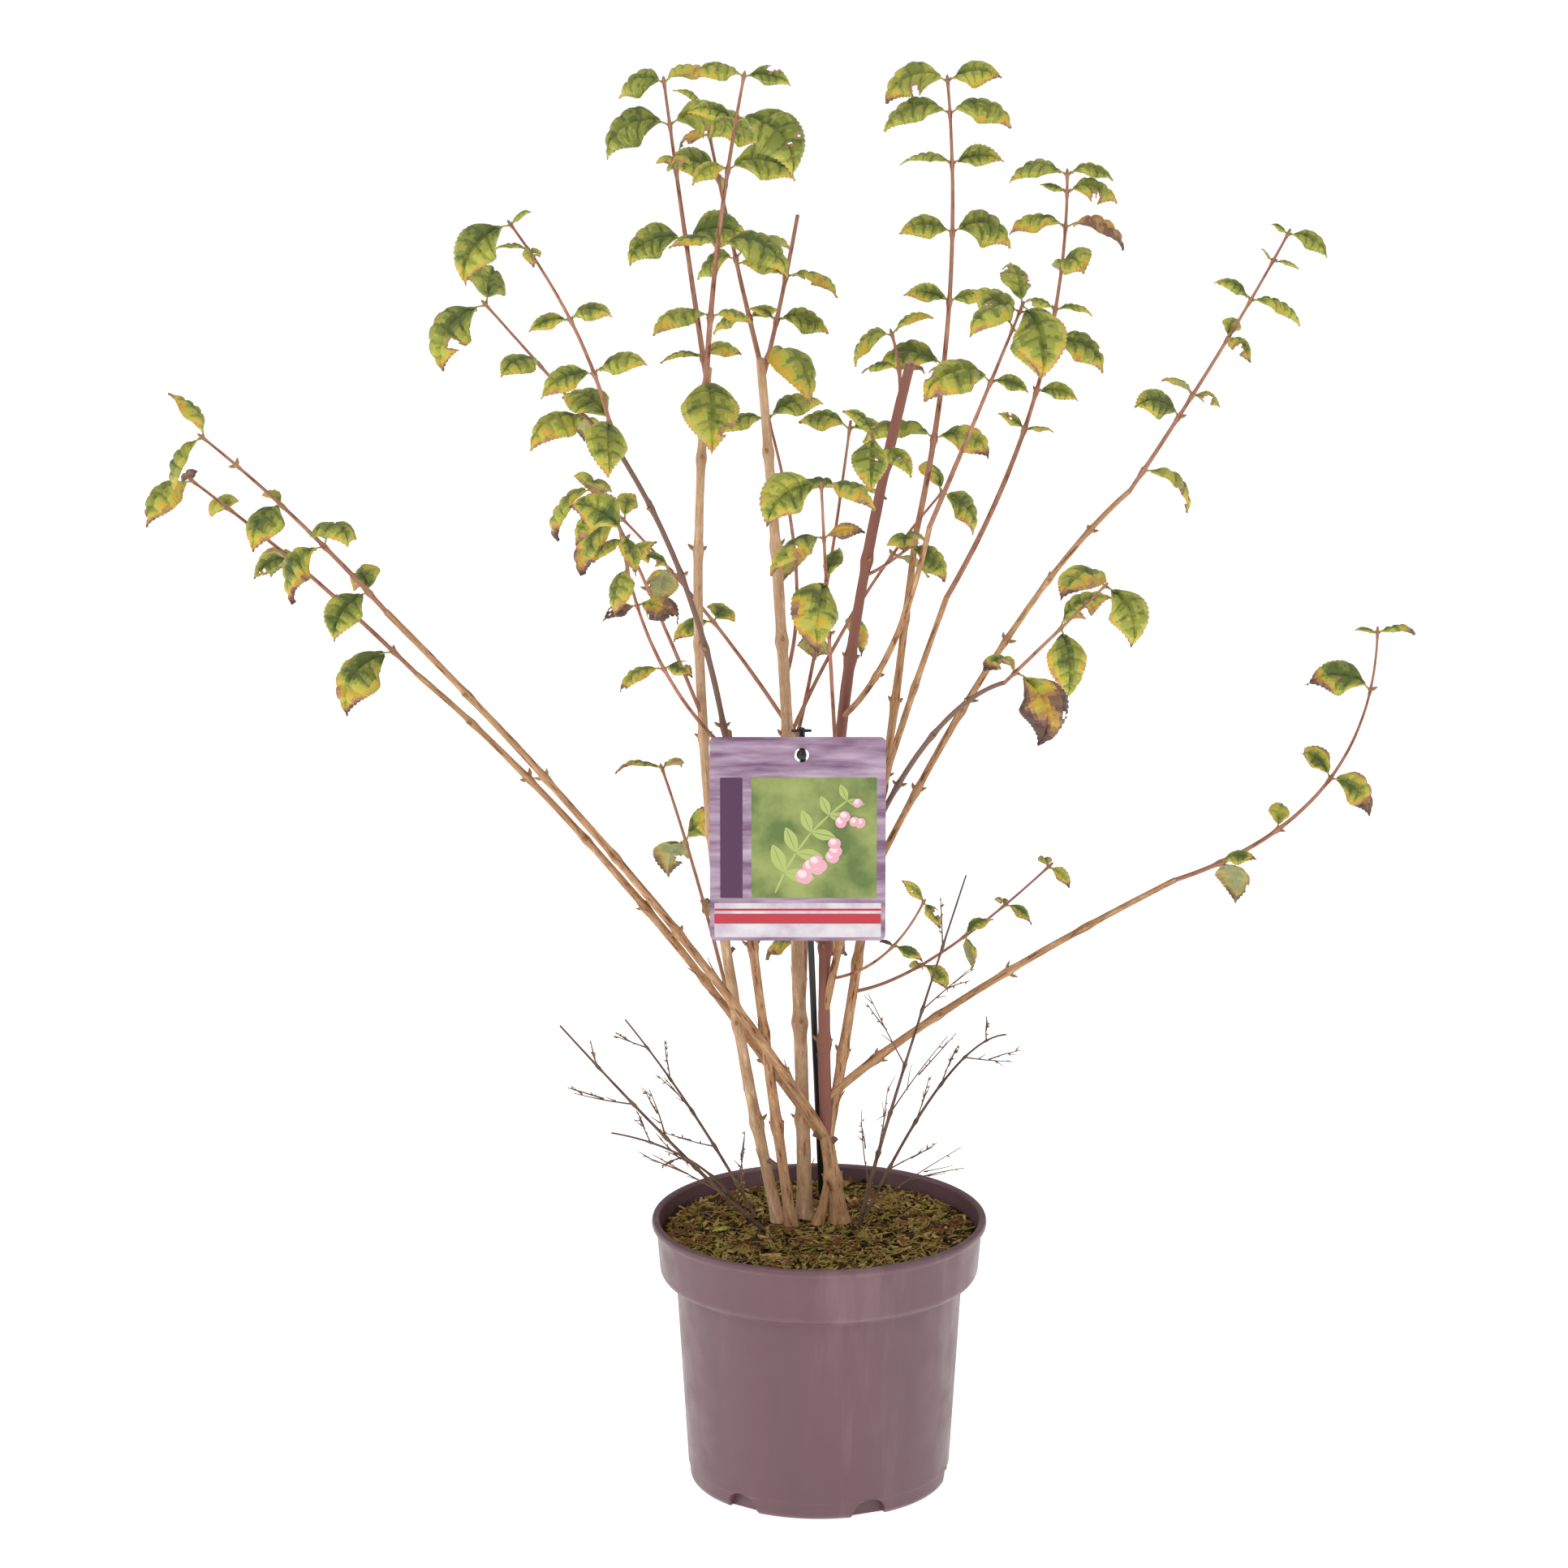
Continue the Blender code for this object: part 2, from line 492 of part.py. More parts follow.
def even_nodes(plan, start):
    """Shares of a bare limb's length where its nodes come."""
    count = max(1, round((Vector(plan.end) - start).length / NODE_SPACING))
    return [index / (count + 1) for index in range(1, count + 1)]


def make_limb(plant, plan):
    """One bare cane or bough, cut clear of what it grows from."""
    start, _ = plant.start_of(plan)
    rings = limb_rings(plant, plan, even_nodes(plan, start))
    bm = bmesh.new()
    loft(bm, rings, CANE_SIDES)
    limb = add_object(plan.name, bm, plan.tint)
    plant.trim(limb)
    plant.rings[plan.name] = (rings, CANE_SIDES)
    plant.reserve(limb)
    return limb


def stem_axes(direction):
    """Directions square to a stem: one to the right, one to the back."""
    right = Vector((1, 0, 0))
    right = (right - direction * right.dot(direction)).normalized()
    return right, direction.cross(right)


def leaf_rings(root, outward, length, droop, roll):
    """The rings of one arched leaf, from its stalk's root in the stem to its tip."""
    heading = math.atan2(outward.y, outward.x)
    level = Vector((math.cos(heading), math.sin(heading), 0))
    side = Vector((-math.sin(heading), math.cos(heading), 0))
    pitch = math.asin(max(-1.0, min(1.0, outward.z)))
    half = length * (LEAF_HALF_WIDTH if length >= LEAF_YOUNG else LEAF_YOUNG_HALF_WIDTH)
    point = root.copy()
    done = 0.0
    rings = []
    for share, width in LEAF_OUTLINE:
        steps = max(1, round((share - done) * LEAF_STEPS))
        for step in range(steps if share else 0):
            here = done + (share - done) * (step + 0.5) / steps
            angle = pitch - droop * here
            point = point + (level * math.cos(angle) + Vector((0, 0, math.sin(angle)))) * (
                length * (share - done) / steps)
        done = share
        angle = pitch - droop * share
        along = level * math.cos(angle) + Vector((0, 0, math.sin(angle)))
        across = Quaternion(along, roll * min(1.0, share / LEAF_ROLL_SHARE)) @ side
        up = along.cross(across)
        thick = LEAF_THICKNESS / 2 * (1.0 if share < LEAF_TIP_SHARE else 0.5)
        half_width = max(half * width, thick)
        ring = Matrix((across * half_width, up * thick, along)).transposed().to_4x4()
        rings.append(Matrix.Translation(point) @ ring)
    return rings


def leaf_droop(length, rng):
    """Long leaves hang further over than young ones."""
    spread = rng.uniform(-LEAF_DROOP_SPREAD, LEAF_DROOP_SPREAD)
    return math.radians(LEAF_DROOP * (length / LEAF_LONG) ** 0.6 + spread)


def leaf_roll(outward, rng):
    """How far a leaf is turned about its own length."""
    to_the_light = LEAF_FACE_TURN * math.cos(math.atan2(outward.y, outward.x))
    return math.radians(rng.uniform(-LEAF_ROLL_SPREAD, LEAF_ROLL_SPREAD) + to_the_light)


def spike(root, direction, length, radius, sides=SPRAY_SIDES):
    """The rings of a bud or a short straight twig."""
    centres = [root, root + direction * length * 0.5, root + direction * length]
    return sweep(centres, (radius * 0.8, radius, radius * 0.35))


def make_shoot(plant, plan):
    """One leafy shoot: its stem, with leaves in pairs and buds, as one solid."""
    rng = random.Random(plan.seed)
    nodes = [pair[0] for pair in plan.pairs]
    rings = limb_rings(plant, plan, nodes, slender=True)
    start, end, bow = plant.paths[plan.name]
    bm = bmesh.new()
    loft(bm, rings, TWIG_SIDES)
    shoot = add_object(plan.name, bm, "leaf")
    plant.trim(shoot)
    parts = []
    for share, turn, *lengths in plan.pairs:
        root = path_point(start, end, bow, share)
        direction = (path_point(start, end, bow, share + 0.01) - root).normalized()
        right, back = stem_axes(direction)
        for side, length in enumerate(lengths):
            angle = math.radians(turn + 180 * side + rng.uniform(-LEAF_TURN_SPREAD, LEAF_TURN_SPREAD))
            rise = math.radians(LEAF_RISE)
            out = right * math.cos(angle) + back * math.sin(angle)
            outward = out * math.cos(rise) + direction * math.sin(rise)
            droop = leaf_droop(max(length, 1), rng)
            roll = leaf_roll(outward, rng)
            bm = bmesh.new()
            if length:
                loft(bm, leaf_rings(root, outward, length, droop, roll), LEAF_SIDES)
            else:
                loft(bm, spike(root, outward, BUD_LENGTH, BUD_RADIUS), SPRAY_SIDES)
            if plant.clash(bm):
                bm.free()
            else:
                parts.append(add_object(f"{plan.name}_{len(parts)}", bm, "leaf"))
    combine(shoot, parts, "UNION", "MANIFOLD")
    plant.reserve(shoot)
    return shoot


def make_spray(plant, plan):
    """One spray of dry twigs: a thin stem whose side twigs fork once more."""
    rng = random.Random(plan.seed)
    nodes = [(index + SPRAY_FIRST) / (plan.branches + SPRAY_FIRST) for index in range(plan.branches)]
    rings = limb_rings(plant, plan, nodes, slender=True)
    start, end, bow = plant.paths[plan.name]
    bm = bmesh.new()
    loft(bm, rings, SPRAY_SIDES)
    spray = add_object(plan.name, bm, "dark")
    plant.trim(spray)
    length = (end - start).length
    parts = []
    for index, share in enumerate(nodes):
        root = path_point(start, end, bow, share)
        direction = (path_point(start, end, bow, share + 0.01) - root).normalized()
        right, back = stem_axes(direction)
        angle = math.radians(SPRAY_TURN * index + rng.uniform(-SPRAY_TURN_SPREAD, SPRAY_TURN_SPREAD))
        out = right * math.cos(angle) + back * math.sin(angle)
        aim = (direction + out * rng.uniform(*SPRAY_LEAN)).normalized()
        reach = length * rng.uniform(*SPRAY_REACH) * (1 - share / 2)
        fork = root + aim * reach * SPRAY_FORK_SHARE
        fork_aim = (aim + back * rng.uniform(-SPRAY_FORK_LEAN, SPRAY_FORK_LEAN)).normalized()
        for base, heading, size in ((root, aim, reach), (fork, fork_aim, reach * SPRAY_FORK_REACH)):
            bm = bmesh.new()
            loft(bm, spike(base, heading, size, plan.radii[1]), SPRAY_SIDES)
            if plant.clash(bm) or (base + heading * size).z < SPRAY_LOWEST:
                bm.free()
                break
            parts.append(add_object(f"{plan.name}_{len(parts)}", bm, "dark"))
    combine(spray, parts, "UNION", "MANIFOLD")
    plant.reserve(spray)
    return spray


def main():
    for obj in list(bpy.data.objects):
        bpy.data.objects.remove(obj)
    plant = Plant()
    for maker in (make_pot, make_soil, make_label_stick, make_label_card):
        plant.reserve(maker())
    for plan in LIMBS:
        make_limb(plant, plan)
    for plan in SHOOTS:
        make_shoot(plant, plan)
    for plan in SPRAYS:
        make_spray(plant, plan)


main()
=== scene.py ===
"""The looks of a potted mont rose deutzia in autumn.

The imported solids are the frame. Every piece here stands where its solid stands: a moulded pot, loose potting
mulch, barked canes, twigs with buds, and veined leaves with toothed, yellowed and bitten blades.
Plans are in millimetres, as a plant like this is measured, and every mesh is put in metres as it is finished.
"""
import math
import random
from collections import namedtuple

import bmesh
import bpy
from bpy.props import FloatProperty, FloatVectorProperty, IntProperty, PointerProperty
from bpy.types import Operator, Panel, PropertyGroup
from mathutils import Matrix, Quaternion, Vector, noise
from mathutils.bvhtree import BVHTree


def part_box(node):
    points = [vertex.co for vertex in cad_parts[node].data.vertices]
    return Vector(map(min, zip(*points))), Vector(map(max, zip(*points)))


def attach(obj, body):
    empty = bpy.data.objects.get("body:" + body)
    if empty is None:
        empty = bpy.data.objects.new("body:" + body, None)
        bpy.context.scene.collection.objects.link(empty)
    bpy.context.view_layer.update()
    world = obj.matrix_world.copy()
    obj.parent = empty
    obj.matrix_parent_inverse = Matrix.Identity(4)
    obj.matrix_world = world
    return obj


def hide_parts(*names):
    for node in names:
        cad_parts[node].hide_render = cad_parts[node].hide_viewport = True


bl_info = {
    "name": "Potted deutzia",
    "version": (1, 0, 0),
    "blender": (4, 5, 0),
    "location": "View3D > Sidebar > Deutzia",
    "description": "Dresses the solids of a potted deutzia with bark, twigs, leaves, mulch and a moulded pot",
    "category": "Add Mesh",
}

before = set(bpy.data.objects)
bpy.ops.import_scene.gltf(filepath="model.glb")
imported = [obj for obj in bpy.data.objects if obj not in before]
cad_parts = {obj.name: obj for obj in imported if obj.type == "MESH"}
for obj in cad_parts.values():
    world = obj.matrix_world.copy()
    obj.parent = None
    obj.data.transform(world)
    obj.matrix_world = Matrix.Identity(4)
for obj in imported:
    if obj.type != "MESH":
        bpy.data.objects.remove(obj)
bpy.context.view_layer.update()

MM = 0.001
ROOT = "root"
SMOOTH_ANGLE = math.radians(38)


def low_mm(node):
    """A solid's lowest corner, in millimetres."""
    return Vector(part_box(node)[0]) / MM


def high_mm(node):
    """A solid's highest corner, in millimetres."""
    return Vector(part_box(node)[1]) / MM


POT_HEIGHT = high_mm("pot").z
POT_RIM_RADIUS = high_mm("pot").x
POT_FOOT_RADIUS = POT_RIM_RADIUS - 29.5
POT_COLLAR_BASE = POT_HEIGHT - 41.0
POT_WALL = 2.2
POT_FLOOR = 14.0
NOTCH_COUNT = 6
NOTCH_TURN = math.radians(-97)
NOTCH_SIZE = (13.5, 13.0, 18.0)
SOIL_TOP = high_mm("soil").z
SOIL_RADIUS = POT_RIM_RADIUS - 7.0
SOIL_FALL = 5.5
GAP = 0.3

CARD_LOW = low_mm("label_card")
CARD_HIGH = high_mm("label_card")
CARD_CENTRE = (CARD_LOW + CARD_HIGH) / 2
CARD_SIZE = CARD_HIGH - CARD_LOW
CARD_HOLE = (-12.5, 536.5)
STICK_FOOT = (2.0, 60.0)
STICK_TOP = (-12.5, -56.0, 553.0)

# The growth rule, the same as in the solids, with its angles in degrees
NODE_SPACING = 77.0
LEAF_RISE = 42.0
LEAF_DROOP = 118.0
LEAF_DROOP_SPREAD = 12.0
LEAF_LONG = 60.0
LEAF_YOUNG = 40.0
LEAF_HALF_WIDTH = 0.29
LEAF_YOUNG_HALF_WIDTH = 0.22
LEAF_TURN_SPREAD = 12.0
LEAF_ROLL_SPREAD = 38.0
LEAF_FACE_TURN = 20.0
LEAF_ROLL_SHARE = 0.3
STALK_SHARE = 0.11
BUD_LENGTH = 6.0
BUD_RADIUS = 1.3
SPRAY_FIRST = 0.8
SPRAY_TURN = 137.5
SPRAY_TURN_SPREAD = 25.0
SPRAY_LEAN = (0.6, 0.95)
SPRAY_REACH = (0.192, 0.36)
SPRAY_FORK_SHARE = 0.5
SPRAY_FORK_LEAN = 0.8
SPRAY_FORK_REACH = 0.6
GROWN_WITHIN = 2.5

Limb = namedtuple("Limb", "name start end bow radii tint")
Shoot = namedtuple("Shoot", "name start end bow radii seed pairs")
Spray = namedtuple("Spray", "name start end bow radii seed branches")

# A limb starts at its foot on the soil, as (x, y), or at a share of the limb it grows from.
# The bow is how far the middle of the limb stands off the straight line from start to end.
LIMBS = (
    Limb("trunk", (14, 2), (5, 8, 246), (0, 0, 0), (5.6, 4.8), "bark"),
    Limb("cane_red_pruned", ("trunk", 0.97), (60, 0, 790), (-20, 4, 0), (4.2, 3.3), "red"),
    Limb("cane_right_tall", ("trunk", 0.9), (65, 50, 660), (4, 8, 5), (3.6, 2.3), "bark"),
    Limb("cane_far_left_upper", ("trunk", 0.95), (-290, -40, 630), (26, -22, -5), (3.4, 2.0), "bark"),
    Limb("cane_far_left_lower", ("trunk", 0.88), (-275, 60, 560), (-5, 6, 25), (3.1, 1.9), "bark"),
    Limb("cane_left_upright", (-28, 2), (-75, 10, 785), (-25, 6, 10), (4.0, 2.8), "light"),
    Limb("cane_centre", (-10, 12), (-40, 60, 780), (5, 4, 5), (5.2, 2.9), "light"),
    Limb("cane_front_left", (-19, -6), (-62, -14, 540), (-5, -2, 25), (3.7, 2.6), "bark"),
    Limb("cane_right_arching", ("cane_red_pruned", 0.16), (85, -20, 635), (-8, -6, -5), (2.7, 2.0), "bark"),
    Limb("bough_far_right", ("cane_right_tall", 0.42), (205, -50, 715), (5, -6, 35), (2.5, 1.7), "bark"),
    Limb("bough_low_right", ("cane_red_pruned", 0.05), (245, 55, 415), (-20, 6, -5), (3.0, 2.0), "bark"),
    Limb("bough_front_right", ("cane_right_arching", 0.42), (120, -150, 610), (0, 4, 22), (2.0, 1.5), "dark"),
    Limb("bough_inner_right", ("cane_red_pruned", 0.55), (72, -70, 695), (4, -6, -15), (2.2, 1.8), "bark"),
    Limb("bough_left_dark", ("cane_front_left", 0.8), (-135, -110, 760), (12, 10, 10), (2.2, 1.6), "dark"),
)

# A shoot's pairs: share of its length, turn of the first leaf (0 right, 90 back), both lengths.
# A length of 0 is a fallen leaf, with a bud left in its place.
SHOOTS = (
    Shoot("shoot_far_left_upper", ("cane_far_left_upper", 1.0), (-410, -60, 755), (0, 0, 5), (1.7, 0.9), 3,
          ((0.09, -115, 48, 42), (0.33, 5, 58, 54), (0.56, -95, 52, 30), (0.8, 10, 0, 0), (0.98, 20, 42, 46))),
    Shoot("shoot_far_left_lower", ("cane_far_left_lower", 1.0), (-430, 90, 690), (0, 0, 5), (1.7, 0.9), 4,
          ((0.1, -130, 66, 0), (0.35, 0, 0, 0), (0.56, -110, 34, 44), (0.82, 60, 42, 0),
           (0.98, -125, 54, 30))),
    Shoot("shoot_left_tall", ("cane_left_upright", 0.985), (-105, 75, 970), (0, 0, -5), (2.0, 0.9), 5,
          ((0.08, 8, 34, 32), (0.48, 0, 50, 50), (0.71, -85, 42, 26), (0.85, 10, 60, 60),
           (0.98, -40, 40, 46))),
    Shoot("shoot_left_tall_light", ("cane_left_upright", 0.96), (-50, -70, 998), (-4, 0, 0), (2.0, 0.9), 6,
          ((0.05, -92, 70, 0), (0.26, 5, 32, 50), (0.48, 0, 60, 38), (0.71, 20, 52, 36), (0.86, -8, 66, 36),
           (0.99, 0, 34, 42))),
    Shoot("shoot_centre_back", ("cane_centre", 0.99), (-80, 200, 930), (0, 0, -5), (1.8, 0.9), 7,
          ((0.2, 0, 28, 34), (0.43, -20, 48, 40), (0.73, 250, 44, 30), (0.88, 0, 52, 30), (0.98, 60, 32, 28))),
    Shoot("shoot_centre_pruned", ("cane_centre", 0.975), (-15, 75, 876), (0, 0, -5), (1.7, 1.2), 8,
          ((0.16, -62, 70, 0), (0.4, 0, 42, 24), (0.66, 10, 44, 36))),
    Shoot("shoot_left_inner_up", ("bough_left_dark", 1.0), (-200, -190, 925), (10, 0, 0), (1.5, 0.8), 9,
          ((0.1, -80, 54, 52), (0.32, 5, 42, 42), (0.56, 0, 38, 30), (0.87, -50, 28, 26), (0.98, 15, 24, 56))),
    Shoot("shoot_left_inner_side", ("bough_left_dark", 0.94), (-222, -60, 845), (6, 6, -8), (1.3, 0.8), 10,
          ((0.3, -110, 58, 40), (0.66, -95, 44, 26), (0.98, 15, 52, 62))),
    Shoot("shoot_left_low_front", ("cane_front_left", 0.94), (-130, -180, 720), (-12, 8, -12), (1.5, 0.9), 11,
          ((0.45, 0, 30, 36), (0.72, 5, 40, 28), (0.86, 80, 30, 40), (0.98, -60, 38, 46))),
    Shoot("shoot_left_low", ("cane_left_upright", 0.58), (-140, -75, 712), (-5, 0, 15), (1.4, 0.8), 12,
          ((0.5, 0, 0, 0), (0.76, 20, 0, 30), (0.98, 30, 44, 40))),
    Shoot("shoot_left_back", ("cane_centre", 0.57), (-160, 195, 660), (5, 15, 0), (1.5, 0.8), 13,
          ((0.4, 0, 40, 34), (0.62, 95, 44, 30), (0.84, -10, 36, 56), (0.98, 200, 52, 50))),
    Shoot("shoot_centre_thin", ("cane_centre", 0.62), (-36, 125, 728), (14, 20, -20), (1.5, 1.0), 14,
          ((0.3, 20, 30, 0), (0.52, 100, 46, 0), (0.78, 0, 0, 0), (0.98, 10, 44, 40))),
    Shoot("shoot_centre_right_back", ("cane_centre", 0.52), (22, 172, 712), (0, 10, -25), (1.5, 0.9), 15,
          ((0.45, 90, 44, 0), (0.65, 0, 0, 0), (0.84, 5, 38, 46), (0.98, 5, 28, 40))),
    Shoot("shoot_centre_front", ("cane_red_pruned", 0.48), (0, -130, 740), (0, 4, -5), (1.5, 0.9), 16,
          ((0.5, 0, 0, 0), (0.68, -95, 64, 34), (0.82, 190, 52, 30), (0.98, 180, 54, 46))),
    Shoot("shoot_right_back", ("cane_centre", 0.55), (88, 205, 655), (-5, 10, 5), (1.4, 0.9), 17,
          ((0.45, 80, 42, 0), (0.7, 0, 34, 0), (0.98, 20, 44, 40))),
    Shoot("tuft_red_cane_top", ("cane_red_pruned", 0.95), (48, 42, 802), (2, 4, 0), (1.4, 0.9), 18,
          ((0.45, 15, 26, 30), (0.96, 150, 46, 34))),
    Shoot("tuft_red_cane_middle", ("cane_red_pruned", 0.88), (34, -46, 752), (0, 0, -3), (1.3, 0.9), 19,
          ((0.5, 0, 38, 0), (0.96, -80, 44, 30))),
    Shoot("tuft_red_cane_low", ("cane_red_pruned", 0.73), (62, -6, 668), (0, 0, -2), (1.3, 0.9), 20,
          ((0.9, 8, 40, 46),)),
    Shoot("shoot_right_tall", ("cane_right_tall", 1.0), (85, 62, 972), (12, 4, 0), (2.1, 0.9), 21,
          ((0.21, 5, 46, 56), (0.37, 0, 0, 50), (0.51, 0, 30, 34), (0.66, 10, 54, 40), (0.81, 0, 38, 38),
           (0.92, 5, 50, 52), (0.99, 0, 40, 52))),
    Shoot("shoot_right_arching", ("cane_right_arching", 1.0), (165, 42, 912), (20, -10, 0), (1.9, 0.9), 22,
          ((0.4, 5, 22, 22), (0.49, 0, 32, 0), (0.6, -10, 50, 0), (0.68, 5, 30, 26), (0.78, -92, 44, 34),
           (0.87, 0, 52, 44), (0.95, 10, 42, 20), (0.99, 5, 36, 46))),
    Shoot("shoot_inner_right", ("bough_inner_right", 1.0), (130, -140, 860), (5, 5, 10), (1.7, 0.9), 23,
          ((0.58, 5, 28, 62), (0.85, -60, 48, 46), (0.95, 5, 30, 52), (0.99, 110, 40, 62))),
    Shoot("shoot_far_right", ("bough_far_right", 1.0), (305, -80, 895), (5, -5, 5), (1.5, 0.8), 24,
          ((0.07, 5, 50, 0), (0.27, 190, 42, 0), (0.35, 10, 22, 30), (0.57, -90, 36, 30), (0.72, 5, 42, 32),
           (0.88, 10, 20, 16), (0.99, 0, 34, 16))),
    Shoot("shoot_front_right", ("bough_front_right", 1.0), (182, -250, 702), (0, 0, 0), (1.3, 0.8), 25,
          ((0.1, -30, 62, 40), (0.55, -80, 52, 44), (0.97, -30, 50, 56))),
    Shoot("shoot_low_right", ("bough_low_right", 1.0), (385, 112, 580), (35, 10, -25), (1.7, 0.8), 26,
          ((0.12, 90, 44, 30), (0.3, 170, 34, 0), (0.52, 0, 44, 36), (0.82, 175, 50, 0), (0.98, 20, 32, 20))),
    Shoot("shoot_low_right_back", ("cane_right_tall", 0.24), (165, 175, 392), (-10, 0, -20), (1.3, 0.8), 27,
          ((0.4, 0, 30, 26), (0.62, 90, 32, 28), (0.8, 0, 26, 24), (0.98, 10, 24, 24))),
    Shoot("shoot_low_right_front", ("cane_right_arching", 0.1), (70, -72, 438), (4, 4, -12), (1.2, 0.8), 28,
          ((0.6, 0, 24, 18), (0.98, -60, 26, 22))),
    Shoot("shoot_low_back", ("cane_centre", 0.2), (-15, 190, 430), (5, 10, 10), (1.6, 0.9), 29,
          ((0.35, 0, 44, 46), (0.55, 90, 50, 0), (0.75, 0, 48, 44), (0.9, 80, 40, 0), (0.98, 0, 34, 34))),
    Shoot("shoot_low_back_left", ("cane_far_left_lower", 0.22), (-110, 150, 470), (0, 10, 5), (1.4, 0.9), 30,
          ((0.4, 40, 42, 0), (0.65, 120, 46, 40), (0.98, 40, 34, 38))),
)

# Sprays of dry twigs low on the plant, with the number of their side branches.
SPRAYS = (
    Spray("dry_spray_left_low", (-38, -16), (-175, -72, 350), (10, 0, -15), (1.7, 0.7), 41, 6),
    Spray("dry_spray_left_rim", (-48, -2), (-140, -105, 285), (10, -5, 12), (1.2, 0.6), 42, 4),
    Spray("dry_spray_left_back", (-44, 14), (-135, 100, 300), (0, 5, 5), (1.2, 0.6), 43, 5),
    Spray("dry_spray_right", (28, -8), (98, -60, 452), (-14, 0, -40), (1.8, 0.6), 44, 7),
    Spray("dry_spray_right_back", (32, 14), (132, 135, 278), (5, 5, 30), (1.2, 0.6), 45, 5),
)

# Shoots whose twigs and leaves are joined: each row becomes one piece of twigs and one of leaves.
GROUPS = {
    "far_left": ("shoot_far_left_upper", "shoot_far_left_lower"),
    "tall_left": ("shoot_left_tall", "shoot_left_tall_light"),
    "tall_centre": ("shoot_centre_back", "shoot_centre_pruned", "tuft_red_cane_top", "tuft_red_cane_middle",
                    "tuft_red_cane_low", "shoot_right_back"),
    "inner_left": ("shoot_left_inner_up", "shoot_left_inner_side", "shoot_left_low_front", "shoot_left_low"),
    "inner_back": ("shoot_left_back", "shoot_centre_thin", "shoot_centre_right_back", "shoot_centre_front"),
    "tall_right": ("shoot_right_tall", "shoot_right_arching"),
    "inner_right": ("shoot_inner_right", "shoot_front_right", "shoot_far_right"),
    "low": ("shoot_low_right", "shoot_low_right_back", "shoot_low_right_front", "shoot_low_back",
            "shoot_low_back_left"),
}

# Leaf tints from the freshest to the driest, top side and underside
TOP_TINTS = ("leaf_deep", "leaf_green", "leaf_bright", "leaf_lime", "leaf_gold", "leaf_ochre", "leaf_tan",
             "leaf_brown", "leaf_dark")
UNDER_TINTS = ("under_deep", "under_green", "under_bright", "under_lime", "under_gold", "under_ochre",
               "under_tan", "under_brown", "under_dark")
TINT_EDGES = (0.1, 0.26, 0.42, 0.56, 0.72, 0.84, 0.98, 1.2)


def colour(name, description, default):
    """A colour that a user can change."""
    return FloatVectorProperty(name=name, description=description, subtype="COLOR", size=3, min=0.0, max=1.0,
                               default=default)


def size(name, description, default_mm):
    """A length that a user can change, given in millimetres and kept in metres."""
    return FloatProperty(name=name, description=description, unit="LENGTH", min=0.0, default=default_mm * MM,
                         precision=5)


class DeutziaPotLooks(PropertyGroup):
    plastic: colour("Plastic", "Mauve taupe of the moulded pot", (0.162, 0.083, 0.098))
    dust: colour("Dust", "Pale dust that dulls the plastic", (0.26, 0.16, 0.175))
    steps: IntProperty(name="Steps", description="Sides of the turned pot", default=128, min=32)


class DeutziaSoilLooks(PropertyGroup):
    flakes: IntProperty(name="Flakes", description="Number of bark and peat flakes", default=5200, min=0)
    fibres: IntProperty(name="Fibres", description="Number of long fibres", default=420, min=0)
    flake_length: size("Flake length", "Length of a usual flake", 6.5)
    ground: colour("Ground", "Damp peat between the flakes", (0.035, 0.02, 0.01))
    olive: colour("Olive", "Olive tan flakes", (0.3, 0.22, 0.055))
    straw: colour("Straw", "Pale straw flakes", (0.47, 0.33, 0.12))
    chip: colour("Chip", "Brown bark chips", (0.19, 0.085, 0.035))
    char: colour("Char", "Dark chips", (0.055, 0.03, 0.018))
    moss: colour("Moss", "Green moss crumbs", (0.2, 0.22, 0.03))


class DeutziaBarkLooks(PropertyGroup):
    relief: size("Relief", "Depth of the ridges in the bark", 0.42)
    node_swell: FloatProperty(name="Node swell", description="How much a cane swells at a node", default=0.3)
    tan: colour("Tan", "Peeling tan bark", (0.58, 0.335, 0.175))
    tan_deep: colour("Tan streaks", "Reddish streaks between the strips", (0.21, 0.075, 0.03))
    light: colour("Straw", "Pale straw bark", (0.7, 0.47, 0.29))
    red: colour("Red", "Dark red bark of the pruned cane", (0.25, 0.07, 0.045))
    dark: colour("Dark", "Dark brown bark of the thin boughs", (0.22, 0.11, 0.075))
    twig: colour("Twig", "Pinkish brown young twigs", (0.5, 0.25, 0.165))
    dry: colour("Dry", "Grey brown dead twigs", (0.2, 0.125, 0.085))
    bud: colour("Bud", "Pointed tan buds", (0.4, 0.25, 0.11))
    wound: colour("Wound", "Bare wood of a cut", (0.58, 0.42, 0.25))


